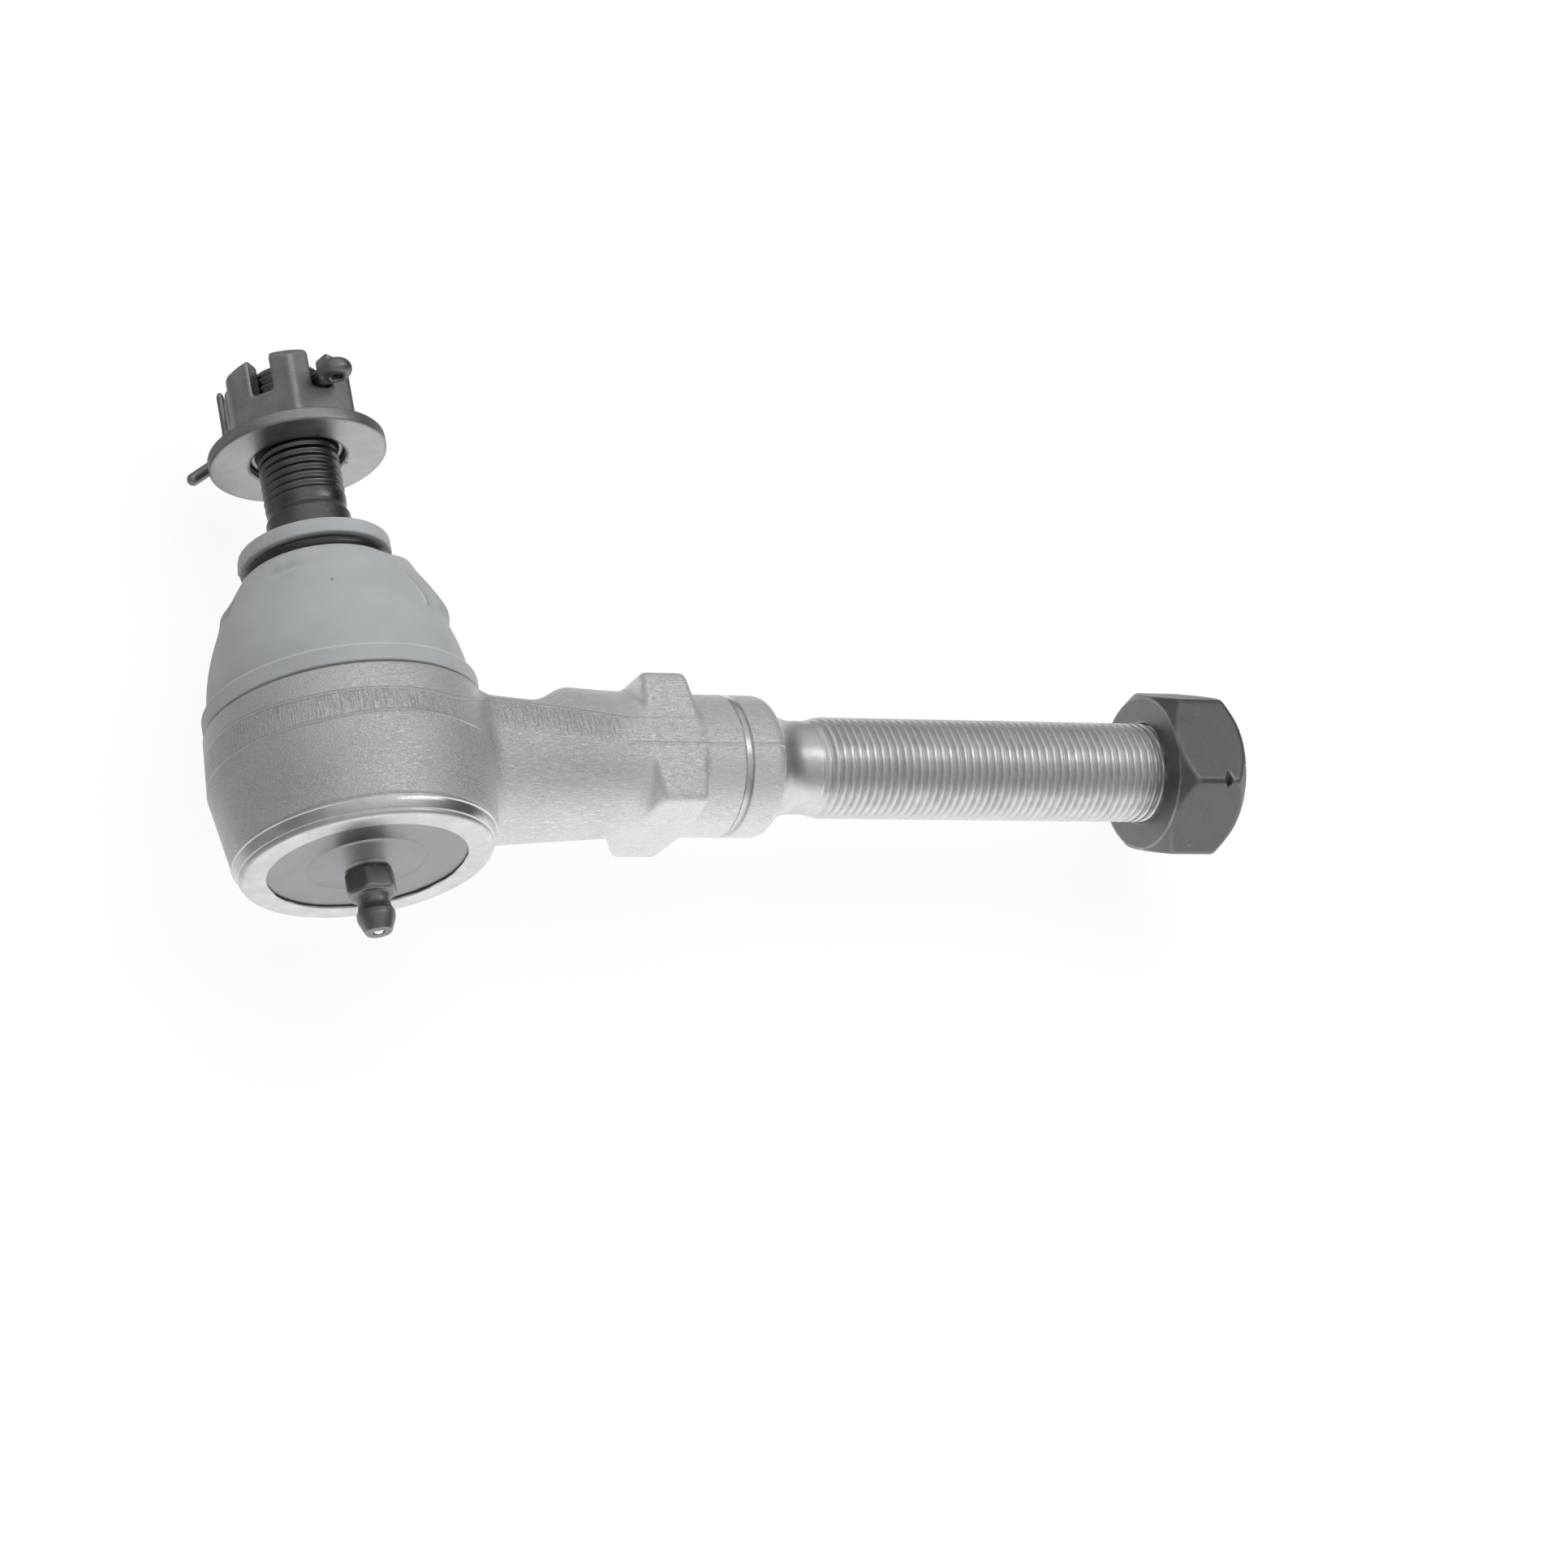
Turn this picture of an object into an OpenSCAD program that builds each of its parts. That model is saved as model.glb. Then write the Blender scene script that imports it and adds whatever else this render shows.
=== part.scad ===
// Tie rod end: ball joint in a forged socket with a threaded shank.
// The part lies on its side: shank along +X, stud along +Y, ball centre at the origin.
// Sizes are in millimetres. Inside the modules the stud points along +Z.

/* [Ball joint] */
// Diameter of the stud's ball
ball_d = 27; // [25:0.5:29]
// Wall of the liner around the ball
liner_t = 1.45; // [1.2:0.05:2]
// Wall of the bearing and the seat outside the liner
seat_wall = 2.5; // [2:0.1:4]
// Running clearance between ball, liner and seats
run_gap = 0.05; // [0.02:0.01:0.1]
// Clearance of the bearing and the seat in the socket's bore
bore_gap = 0.05; // [0.02:0.01:0.1]
// Largest swing of the stud each way about one axis, in degrees
swing_max = 18; // [10:1:20]
// Height of the upper bearing's top above the ball's centre
bearing_h = 8.9; // [8:0.1:10]
// Depth of the lower seat's underside below the ball's centre
seat_depth = 12.9; // [11:0.1:13]
// Gap between the upper bearing and the lower seat
split_gap = 0.6; // [0.2:0.1:2]
// Height of the dished spring under the lower seat
spring_h = 4.1; // [3:0.1:6]
// Thickness of the dished spring
spring_t = 1.2; // [0.8:0.1:1.6]

/* [Socket] */
// Wall of the socket at its widest
socket_wall = 6.9; // [6:0.1:9]
// Thickness of the web over the upper bearing
web_t = 2.6; // [2:0.1:4]
// Height of the spigot that the boot grips
spigot_h = 4.4; // [4:0.1:6]
// Wall of the spigot outside the socket's bore
spigot_wall = 2.9; // [2:0.1:3.2]
// Draw-in of the socket from its widest band up to its shoulder
shoulder_in = 0.7; // [0:0.1:1.5]
// Depth of the widest band below the ball's centre
belly_depth = 3; // [1:0.1:6]
// Wall of the crimped rim around the cover plate
rim_wall = 3.6; // [2.5:0.1:5]
// Height of the crimped rim
rim_h = 2.7; // [2:0.1:4]
// Overlap of the crimped lip on the cover plate
lip_over = 2.5; // [1:0.1:4]
// Thickness of the crimped lip
lip_t = 0.6; // [0.4:0.1:1.5]

/* [Cover plate and grease fitting] */
// Thickness of the cover plate
plate_t = 2; // [1.5:0.1:3]
// Width of the ledge that the cover plate seats on
plate_ledge = 1.4; // [1:0.1:2.5]
// Clearance around the cover plate
plate_gap = 0.1; // [0.05:0.05:0.3]
// Radius of the cover plate's boss at its foot
boss_foot_r = 8.6; // [7.5:0.1:11]
// Radius of the cover plate's boss at its top
boss_top_r = 5.4; // [5:0.1:7]
// Height of the cover plate's boss
boss_h = 1.6; // [1.5:0.1:5]
// Width across the flats of the fitting's hexagon
fitting_af = 8; // [7:0.1:9]
// Height of the fitting's hexagon
fitting_hex_h = 4.4; // [2.5:0.1:5]
// Radius of the fitting's neck
fitting_neck_r = 2.7; // [2.2:0.1:3]
// Radius of the fitting's head
fitting_head_r = 3.25; // [3.1:0.05:3.5]
// Height of the fitting above its hexagon
fitting_h = 6.5; // [5.5:0.1:8]
// Radius of the fitting's threaded end
fitting_thread_r = 3; // [2.5:0.1:3.4]
// Radius of the check ball
check_r = 1.15; // [1:0.05:1.3]
// Travel of the check ball
check_travel = 0.9; // [0.5:0.1:1.2]
// Diameter of the check spring's wire
check_wire = 0.3; // [0.2:0.05:0.4]

/* [Dust boot] */
// Wall of the boot
boot_wall = 2; // [1.5:0.1:2.5]
// Height of the boot above the socket's shoulder
boot_h = 32.4; // [28:0.1:36]
// Step from the socket's side in to the boot's base lip
boot_step = 0.3; // [0.1:0.1:1]
// Height of the boot's base lip
base_lip_h = 3.4; // [3:0.1:5]
// Step from the base lip in to the dome
dome_step = 1.3; // [0.5:0.1:1.8]
// Radius of the dome under the ring groove
dome_top_r = 13.3; // [12.8:0.1:15]
// Radius of the boot's top lip
top_lip_r = 13.3; // [12.8:0.1:15]
// Height of the boot's top lip
top_lip_h = 2.8; // [2:0.1:4]
// Height of the ring in the boot's groove
ring_h = 2.1; // [1.5:0.1:3]
// Radial thickness of the ring
ring_t = 1.8; // [1:0.1:2]
// Depth of the ring's outside below the top lip's edge
ring_sink = 0.7; // [0.3:0.1:1]
// Clearance of the boot and its rings on what they grip
boot_gap = 0.1; // [0.05:0.05:0.3]
// Diameter of the wire ring in the base lip
base_wire = 1.6; // [1:0.1:2]

/* [Stud] */
// Radius of the stud's neck above the ball
neck_r = 6.3; // [5:0.1:6.8]
// Radius of the taper at its small end
taper_small_r = 7.2; // [7.1:0.05:7.6]
// Length over which the taper's diameter grows by one
taper_ratio = 8; // [7:0.5:10]
// Length of the taper above the boot
taper_show = 6.9; // [4:0.1:10]
// Length of the whole taper
taper_len = 20; // [16:0.5:22]
// Height of the undercut under the stud's thread
undercut_h = 1.2; // [0.8:0.1:2]
// Outside diameter of the stud's thread
stud_d = 14; // [13:0.1:14]
// Pitch of both threads
pitch = 1.5; // [1:0.25:2]
// Space for the steering arm between boot and washer
arm_space = 17.5; // [14:0.1:22]

/* [Castle nut] */
// Radius of the captive washer
washer_r = 15.4; // [13.5:0.1:18]
// Thickness of the captive washer
washer_t = 2.3; // [2:0.1:4]
// Width across the nut's flats
nut_af = 20.6; // [20:0.1:23]
// Height of the nut
nut_h = 13.7; // [12:0.1:16]
// Width of the nut's slots
slot_w = 4.3; // [3.8:0.1:5]
// Depth of the nut's slots
slot_depth = 8.5; // [8:0.1:9.5]
// Outside radius of the nut's skirt in the washer
skirt_r = 8; // [7.8:0.1:8.6]
// Clearance between the washer and the nut
washer_gap = 0.3; // [0.1:0.05:0.5]
// Clearance of the nuts on their threads
thread_gap = 0.06; // [0.04:0.01:0.1]
// Turn of the nut and the cotter pin on the stud, in degrees
nut_turn = 12.5; // [-30:0.5:30]

/* [Cotter pin] */
// Thickness of the cotter pin
cotter_d = 3.2; // [2.5:0.1:3.4]
// Clearance of the cotter pin in the stud's hole
cotter_gap = 0.2; // [0.1:0.05:0.4]
// Depth of the cotter pin below the nut's top
cotter_drop = 5.5; // [3:0.1:6]
// Inside radius of the pin's eye
eye_in_r = 1.2; // [0.8:0.1:2]
// Sideways place of the pin's eye
eye_side = 0.8; // [0:0.1:1.5]
// Clearance between the pin's eye and the nut
eye_gap = 0.4; // [0.2:0.1:1]
// Clearance of the bent legs from the nut and the washer
leg_gap = 0.6; // [0.3:0.1:1.5]
// Reach of the standing leg behind the nut
up_back = 2.6; // [2:0.1:5]
// Height of the standing leg above the pin
up_h = 9.4; // [5:0.1:12]
// Sideways lean of the standing leg
up_lean = 3.2; // [0:0.1:4]
// Reach of the lower leg's knee behind the nut
knee_back = 3.4; // [2:0.1:5]
// Drop of the lower leg's knee below the pin
knee_drop = 2.2; // [1:0.1:4]
// Sideways place of the lower leg's knee
knee_side = 2.6; // [0:0.1:4]
// Sideways place of the lower leg's end
foot_side = 9.4; // [4:0.1:11]
// Reach of the lower leg's end past the washer's rim
foot_past = 2.5; // [0.5:0.1:5]

/* [Shank] */
// Radius of the forged neck at the socket
arm_r = 14.6; // [12.5:0.1:15]
// Height of the forged neck's top beside the socket
valley_h = 6.4; // [3:0.1:8]
// Place where the neck's top starts to rise
valley_x = 31; // [30:0.5:36]
// Place where the neck's top has risen to the collar
crest_x = 45; // [42:0.5:47]
// Width across the flats of the wrench square
square_af = 24.7; // [22:0.1:26]
// Place of the wrench square's near end
square_x = 51.5; // [49:0.5:54]
// Length of the wrench square
square_len = 8.1; // [7:0.1:14]
// Amount turned off the wrench square's corners
square_trim = 0.7; // [0.2:0.1:2]
// Radius of the collar
collar_r = 12.4; // [11:0.05:13]
// Length of the collar behind the wrench square
collar_len = 17.4; // [14:0.1:22]
// Width of the groove in the collar
groove_w = 1.4; // [0.8:0.1:2]
// Depth of the groove in the collar
groove_depth = 0.5; // [0.2:0.1:1]
// Distance from the groove to the collar's end
groove_back = 7.7; // [5:0.1:9]
// Radius of the plain shank between collar and thread
plain_r = 8.2; // [8:0.1:8.6]
// Length of the plain shank
plain_len = 9.4; // [8:0.1:18]
// Outside diameter of the shank's thread
shank_d = 17.8; // [17.4:0.1:18]
// Length of the shank's thread
thread_len = 81.6; // [50:0.1:100]
// Width across the jam nut's flats
jam_af = 28; // [26:0.1:30]
// Thickness of the jam nut
jam_t = 14.1; // [9:0.1:18]
// Reach of the jam nut past the shank's end
jam_past = 0.6; // [0.2:0.1:2]
// Turn of the jam nut on its thread, in degrees
jam_turn = 0; // [-30:1:30]

/* [Hidden] */
$fn = 72;
eps = 0.01;
// Reach of cuts and joined solids past a surface
over = 1;

// Ball, liner and seats
ball_r = ball_d / 2;
liner_in_r = ball_r + run_gap;
liner_out_r = liner_in_r + liner_t;
seat_r = liner_out_r + run_gap;
bearing_r = seat_r + seat_wall;
bore_r = bearing_r + bore_gap;
seat_hole_r = sqrt(seat_r * seat_r - seat_depth * seat_depth);
spring_ledge = 1.2;
spring_in_r = seat_hole_r + spring_ledge;
spring_out_r = bearing_r - spring_ledge / 3;
spring_flat = 1.3;
// The stud's neck swings in the liner about one axis, and in the mouth about two
liner_margin = 2.5;
liner_mouth = asin(neck_r / ball_r) + swing_max + liner_margin;
liner_foot = 35;
corner_swing = acos(pow(cos(swing_max), 2));
mouth_gap = 1;
ball_flat = 0.9;

// Heights of the socket, seen with the stud up
web_z = bearing_h;
spigot_z = web_z + web_t;
shoulder_z = spigot_z - spigot_h;
plate_top_z = -seat_depth - spring_h;
plate_face_z = plate_top_z - plate_t;
lip_z = plate_face_z - lip_t;
rim_z = lip_z + rim_h;
socket_r = bore_r + socket_wall;
shoulder_r = socket_r - shoulder_in;
spigot_r = bore_r + spigot_wall;
spigot_chamfer = 1.2;
plate_r = bore_r + plate_ledge;
pocket_r = plate_r + plate_gap;
rim_r = pocket_r + rim_wall;
lip_in_r = plate_r - lip_over;
rim_round = rim_wall * 0.55;

// Grease fitting, whose tip points down
hex_top_z = plate_face_z - boss_h;
hex_low_z = hex_top_z - fitting_hex_h;
tip_z = hex_low_z - fitting_h;
head_cone = 1.7;
head_band = 1.8;
head_low_z = tip_z + head_cone;
head_top_z = head_low_z + head_band;
head_back = 0.7;
neck_end_z = head_top_z + head_back;
tip_face_r = 1.9;
check_gap = 0.1;
check_bore_r = check_r + check_gap;
check_show = 0.15;
check_mouth_r = check_r - check_show;
check_z = tip_z - check_show + check_r;
check_lip_z = check_z - sqrt(check_r * check_r - check_mouth_r * check_mouth_r) - check_gap;
check_spring_len = 4.6;
check_shelf_z = check_z + check_r + check_gap + check_spring_len;
passage_r = 0.8;
check_coils = 6;

// Boot and its rings
boot_low_z = shoulder_z;
boot_top_z = boot_low_z + boot_h;
lip_r = shoulder_r - boot_step;
dome_low_z = boot_low_z + base_lip_h;
dome_low_r = lip_r - dome_step;
groove_top_z = boot_top_z - top_lip_h;
groove_low_z = groove_top_z - ring_h - 2 * boot_gap;
ring_out_r = top_lip_r - ring_sink;
ring_in_r = ring_out_r - ring_t;
groove_r = ring_in_r - boot_gap;
boot_edge = 0.6;
seal_h = 1.5;
dome_power = 1.8;
dome_steps = 14;
boot_grip_r = spigot_r + boot_gap;
grip_top_z = spigot_z - spigot_chamfer + boot_gap;
base_ring_r = (boot_grip_r + lip_r) / 2;
base_ring_z = boot_low_z + base_lip_h / 2;

// Stud
taper_z = boot_top_z + taper_show;
taper_low_z = taper_z - taper_len;
thread_z = taper_z + undercut_h;
stud_r = stud_d / 2;
// Standard depth of a metric thread, and where its flat crest starts, as shares of the pitch
thread_depth = 0.6134 * pitch;
crest_from = 0.38;
undercut_r = stud_r - thread_depth;
thread_edge = 0.3;
flare_h = 5;
washer_z = boot_top_z + arm_space;
nut_z = washer_z + washer_t + washer_gap;
nut_top_z = nut_z + nut_h;
cotter_z = nut_top_z - cotter_drop;
stud_short = 0.6;
stud_end_z = nut_top_z - stud_short;
cotter_hole_r = cotter_d / 2 + cotter_gap;
// Thickness of one leg of the cotter pin as a share of the pin
leg_share = 0.7;

// Castle nut and washer
nut_bore_r = stud_r + thread_gap;
skirt_flare = 0.4;
skirt_flare_h = 0.7;
skirt_lift = 0.2;
skirt_z = washer_z + skirt_lift;
washer_hole_r = skirt_r + washer_gap;
washer_edge = 0.6;

// Shank, along +X
arm_x = bore_r + over;
square_end_x = square_x + square_len;
square_reach = square_af * sqrt(2) / 2 - square_trim;
square_slope = 2.4;
collar_end_x = square_end_x + collar_len;
collar_round = 2.2;
plain_fillet = 2.4;
plain_x = collar_end_x + plain_fillet;
groove_x = collar_end_x - groove_back;
thread_x = collar_end_x + plain_len;
shank_end_x = thread_x + thread_len;
shank_r = shank_d / 2;
shank_root_r = shank_r - thread_depth;
jam_end_x = shank_end_x + jam_past;
jam_x = jam_end_x - jam_t;
jam_bore_r = shank_r + thread_gap;
valley_steps = 8;

// Radius of the stud's taper at height z
function taper_r(z) = taper_small_r + (taper_z - z) / (2 * taper_ratio);

// Radius of the mouth that lets the stud's neck swing, at height z
function mouth_r(z) = z * tan(corner_swing) + neck_r / cos(corner_swing) + mouth_gap;

// Outside radius of the boot's dome at height z
function dome_share(z) = (z - dome_low_z) / (groove_low_z - dome_low_z);
function dome_r(z) = dome_top_r + (dome_low_r - dome_top_r) * (1 - pow(dome_share(z), dome_power));

// Smooth rise from 0 to 1
function rise(t) = t * t * (3 - 2 * t);

// Points of a round arc, as [x, y]
function arc(cx, cy, r, from, to, steps = 6) = [
  for (i = [0:steps]) let (a = from + (to - from) * i / steps) [cx + r * cos(a), cy + r * sin(a)]
];

// Points of thread ridges from z0 to z1, as [r, z]
function ridges(z0, z1, crest_r, root_r) = [
  for (i = [0:floor((z1 - z0) / pitch) - 1])
    for (p = [[0, root_r], [crest_from, crest_r], [1 - crest_from, crest_r]]) [p[1], z0 + (i + p[0]) * pitch]
];

// The stud's direction goes from up to sideways, so that the part lies on its side
module lay() {
  rotate([-90, 0, 0]) children();
}

// Turned shape about the shank's axis, from points [r, x]
module turned_x(points) {
  rotate([0, 90, 0]) rotate_extrude() polygon(points);
}

// Round bar between two points
module bar(from, to, r) {
  d = to - from;
  translate(from) rotate([0, acos(d[2] / norm(d)), atan2(d[1], d[0])]) cylinder(h = norm(d), r = r);
}

// Hexagon prism by its width across the flats
module hexagon(af, h) {
  cylinder(h = h, r = af / 2 / cos(30), $fn = 6);
}

// Hexagon with both ends chamfered as nuts are
module chamfered_hexagon(af, h, chamfer) {
  corner_r = af / 2 / cos(30);
  face_inset = 0.2;
  face_r = af / 2 - face_inset;
  intersection() {
    hexagon(af, h);
    rotate_extrude() polygon([
      [0, 0], [face_r, 0], [corner_r + eps, chamfer], [corner_r + eps, h - chamfer], [face_r, h], [0, h]
    ]);
  }
}

// Socket: barrel with crimped rim, bearing bore, cover pocket and mouth
module socket() {
  rotate_extrude() polygon(concat(
    [[lip_in_r, plate_face_z], [lip_in_r, lip_z + lip_t / 3], [lip_in_r + lip_t, lip_z]],
    arc(rim_r - rim_round, lip_z + rim_round, rim_round, -90, 0),
    [[rim_r, rim_z], [socket_r, -belly_depth], [shoulder_r, shoulder_z], [spigot_r, shoulder_z],
     [spigot_r, spigot_z - spigot_chamfer], [spigot_r - spigot_chamfer, spigot_z],
     [mouth_r(spigot_z), spigot_z], [mouth_r(web_z), web_z], [bore_r, web_z],
     [bore_r, plate_top_z], [pocket_r, plate_top_z], [pocket_r, plate_face_z]]
  ));
}

// Forged neck, with a valley in its top beside the socket
module forged_neck() {
  top = collar_r + over;
  low = arm_r + over;
  intersection() {
    turned_x([[0, arm_x], [arm_r, arm_x], [collar_r, crest_x], [collar_r, square_x], [0, square_x]]);
    rotate([90, 0, 0]) linear_extrude(height = 2 * low, center = true) polygon(concat(
      [[arm_x - over, -low], [arm_x - over, valley_h]],
      [for (i = [0:valley_steps]) let (t = i / valley_steps)
        [valley_x + t * (crest_x - valley_x), valley_h + rise(t) * (top - valley_h)]],
      [[square_x + over, top], [square_x + over, -low]]
    ));
  }
}

// Wrench square with turned corners and sloped ends
module wrench_square() {
  intersection() {
    translate([square_x - square_slope, -square_af / 2, -square_af / 2])
      cube([square_len + 2 * square_slope, square_af, square_af]);
    turned_x([
      [0, square_x - square_slope], [collar_r, square_x - square_slope], [square_reach, square_x],
      [square_reach, square_end_x - square_slope / 3], [collar_r, square_end_x + square_slope / 6],
      [0, square_end_x + square_slope / 6]
    ]);
  }
}

// Collar, plain shank and thread
module shank() {
  turned_x(concat(
    [[0, square_x - square_slope], [collar_r, square_x - square_slope],
     [collar_r, groove_x - groove_w / 2], [collar_r - groove_depth, groove_x - groove_w / 2],
     [collar_r - groove_depth, groove_x + groove_w / 2], [collar_r, groove_x + groove_w / 2]],
    [for (p = arc(collar_end_x - collar_round, collar_r - collar_round, collar_round, 90, 0)) [p[1], p[0]]],
    [[plain_r, plain_x], [plain_r, thread_x - pitch / 2]],
    ridges(thread_x, shank_end_x - pitch, shank_r, shank_root_r),
    [[shank_root_r, shank_end_x], [0, shank_end_x]]
  ));
}

module housing() {
  color("#a9a6a0") lay() {
    socket();
    forged_neck();
    wrench_square();
    shank();
  }
}

// Solid cone of the stud's reach in the mouth
module mouth_room() {
  rotate_extrude() polygon([
    [0, 0], [mouth_r(0), 0], [mouth_r(spigot_z + over), spigot_z + over], [0, spigot_z + over]
  ]);
}

module upper_bearing() {
  color("#d8d2c0") lay() difference() {
    translate([0, 0, split_gap / 2]) cylinder(h = web_z - split_gap / 2, r = bearing_r);
    sphere(r = seat_r);
    translate([0, 0, split_gap]) mouth_room();
  }
}

module bearing_liner() {
  cut = 2 * liner_out_r;
  color("#efe9d8") lay() difference() {
    sphere(r = liner_out_r);
    sphere(r = liner_in_r);
    cylinder(h = cut, r1 = 0, r2 = cut * tan(liner_mouth));
    mirror([0, 0, 1]) cylinder(h = cut, r1 = 0, r2 = cut * tan(liner_foot));
  }
}

module lower_seat() {
  color("#d8d2c0") lay() difference() {
    translate([0, 0, -seat_depth]) cylinder(h = seat_depth - split_gap / 2, r = bearing_r);
    sphere(r = seat_r);
  }
}

module preload_spring() {
  color("#6d7075") lay() rotate_extrude() polygon([
    [spring_in_r, -seat_depth], [spring_in_r + spring_flat, -seat_depth],
    [spring_out_r, plate_top_z + spring_t], [spring_out_r, plate_top_z],
    [spring_out_r - spring_flat, plate_top_z], [spring_in_r, -seat_depth - spring_t]
  ]);
}

module cover_plate() {
  hole_r = fitting_thread_r + bore_gap;
  pocket_foot_r = boss_foot_r - plate_t;
  pocket_land = 1;
  pocket_top_r = hole_r + pocket_land;
  color("#868889") lay() rotate_extrude() polygon([
    [pocket_foot_r, plate_top_z], [plate_r, plate_top_z], [plate_r, plate_face_z],
    [boss_foot_r, plate_face_z], [boss_top_r, hex_top_z], [hole_r, hex_top_z],
    [hole_r, plate_face_z], [pocket_top_r, plate_face_z]
  ]);
}

module grease_fitting_body() {
  thread_len_in = boss_h + plate_t;
  hex_trim = 0.25;
  color("#55524e") lay() difference() {
    union() {
      translate([0, 0, hex_low_z]) intersection() {
        hexagon(fitting_af, fitting_hex_h);
        cylinder(h = fitting_hex_h, r = fitting_af / 2 / cos(30) - hex_trim);
      }
      rotate_extrude() polygon([
        [0, hex_top_z + thread_len_in], [fitting_thread_r, hex_top_z + thread_len_in],
        [fitting_thread_r, hex_low_z + eps], [fitting_neck_r, hex_low_z + eps],
        [fitting_neck_r, neck_end_z], [fitting_head_r, head_top_z], [fitting_head_r, head_low_z],
        [tip_face_r, tip_z], [0, tip_z]
      ]);
    }
    rotate_extrude() polygon([
      [0, tip_z - over], [check_mouth_r, tip_z - over], [check_mouth_r, check_lip_z],
      [check_bore_r, check_z - check_gap], [check_bore_r, check_shelf_z], [passage_r, check_shelf_z],
      [passage_r, hex_top_z + thread_len_in + over], [0, hex_top_z + thread_len_in + over]
    ]);
  }
}

module grease_check_ball() {
  color("#d9d9d9") lay() translate([0, 0, check_z]) sphere(r = check_r);
}

// Coil of the check spring, between the ball and its shelf
module grease_check_spring() {
  sides = 6;
  per_turn = 10;
  rings = check_coils * per_turn;
  wire_r = check_wire / 2;
  coil_r = check_bore_r - check_gap - wire_r;
  rise_len = check_spring_len - 2 * wire_r - check_gap;
  low_z = check_z + check_r + check_gap + wire_r;
  points = [
    for (i = [0:rings]) for (k = [0:sides - 1])
      let (turn = 360 * i / per_turn, a = 360 * k / sides, r = coil_r + wire_r * cos(a))
      [r * cos(turn), r * sin(turn), low_z + rise_len * i / rings + wire_r * sin(a)]
  ];
  skin = [
    for (i = [0:rings - 1]) for (k = [0:sides - 1])
      let (a = i * sides + k, b = i * sides + (k + 1) % sides)
      for (face = [[a, a + sides, b], [b, a + sides, b + sides]]) face
  ];
  caps = [
    for (k = [1:sides - 2])
      let (last = rings * sides)
      for (face = [[0, k, k + 1], [last, last + k + 1, last + k]]) face
  ];
  color("#8d8f92") lay() polyhedron(points, concat(skin, caps));
}

module dust_boot() {
  z_at = [for (i = [0:dome_steps]) dome_low_z + (groove_low_z - dome_low_z) * i / dome_steps];
  seal_z = groove_low_z - seal_h;
  inner_z = [for (z = z_at) if (z > grip_top_z + over && z < seal_z - over) z];
  color("#a5acac") lay() difference() {
    rotate_extrude() polygon(concat(
      [[boot_grip_r, boot_low_z], [lip_r, boot_low_z], [lip_r, dome_low_z - boot_edge],
       [lip_r - boot_edge, dome_low_z]],
      [for (z = z_at) [dome_r(z), z]],
      [[groove_r, groove_low_z], [groove_r, groove_top_z], [top_lip_r, groove_top_z],
       [top_lip_r, boot_top_z - boot_edge], [top_lip_r - boot_edge, boot_top_z],
       [taper_r(boot_top_z) + boot_gap, boot_top_z], [taper_r(seal_z) + boot_gap, seal_z]],
      [for (i = [len(inner_z) - 1:-1:0]) [dome_r(inner_z[i]) - boot_wall, inner_z[i]]],
      [[boot_grip_r, grip_top_z]]
    ));
    base_wire_ring(base_wire / 2 + eps);
  }
}

// Ring of round wire in the boot's base lip
module base_wire_ring(wire_r) {
  rotate_extrude() translate([base_ring_r, base_ring_z]) circle(r = wire_r, $fn = 32);
}

module boot_base_ring() {
  color("#7c7e80") lay() base_wire_ring(base_wire / 2);
}

module boot_neck_ring() {
  edge = ring_t / 3;
  low_z = groove_low_z + boot_gap;
  high_z = groove_top_z - boot_gap;
  color("#1d1c1b") lay() rotate_extrude() polygon(concat(
    [[ring_in_r, low_z]],
    arc(ring_out_r - edge, low_z + edge, edge, -90, 0, 4),
    arc(ring_out_r - edge, high_z - edge, edge, 0, 90, 4),
    [[ring_in_r, high_z]]
  ));
}

module ball_stud() {
  color("#2b2827") lay() difference() {
    union() {
      difference() {
        sphere(r = ball_r);
        translate([-ball_r, -ball_r, -2 * ball_r + ball_flat]) cube([2 * ball_r, 2 * ball_r, ball_r]);
      }
      rotate_extrude() polygon(concat(
        [[0, 0], [neck_r, 0], [neck_r, taper_low_z - flare_h], [taper_r(taper_low_z), taper_low_z],
         [taper_small_r, taper_z], [undercut_r, taper_z + undercut_h / 2]],
        ridges(thread_z, stud_end_z - pitch, stud_r, undercut_r),
        [[stud_r - thread_edge, stud_end_z - pitch], [undercut_r, stud_end_z], [0, stud_end_z]]
      ));
    }
    translate([0, 0, cotter_z]) rotate([90, 0, nut_turn])
      cylinder(h = 4 * stud_r, r = cotter_hole_r, center = true);
  }
}

module castle_nut() {
  chamfer = 1.6;
  color("#3b3936") lay() rotate([0, 0, nut_turn]) difference() {
    union() {
      translate([0, 0, nut_z]) chamfered_hexagon(nut_af, nut_h, chamfer);
      rotate_extrude() polygon([
        [0, skirt_z], [skirt_r + skirt_flare, skirt_z], [skirt_r, skirt_z + skirt_flare_h],
        [skirt_r, nut_z + over], [0, nut_z + over]
      ]);
    }
    translate([0, 0, washer_z]) cylinder(h = 2 * nut_h, r = nut_bore_r);
    for (turn = [30, 90, 150])
      rotate([0, 0, turn]) translate([-nut_af, -slot_w / 2, nut_top_z - slot_depth])
        cube([2 * nut_af, slot_w, slot_depth + over]);
  }
}

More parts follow.
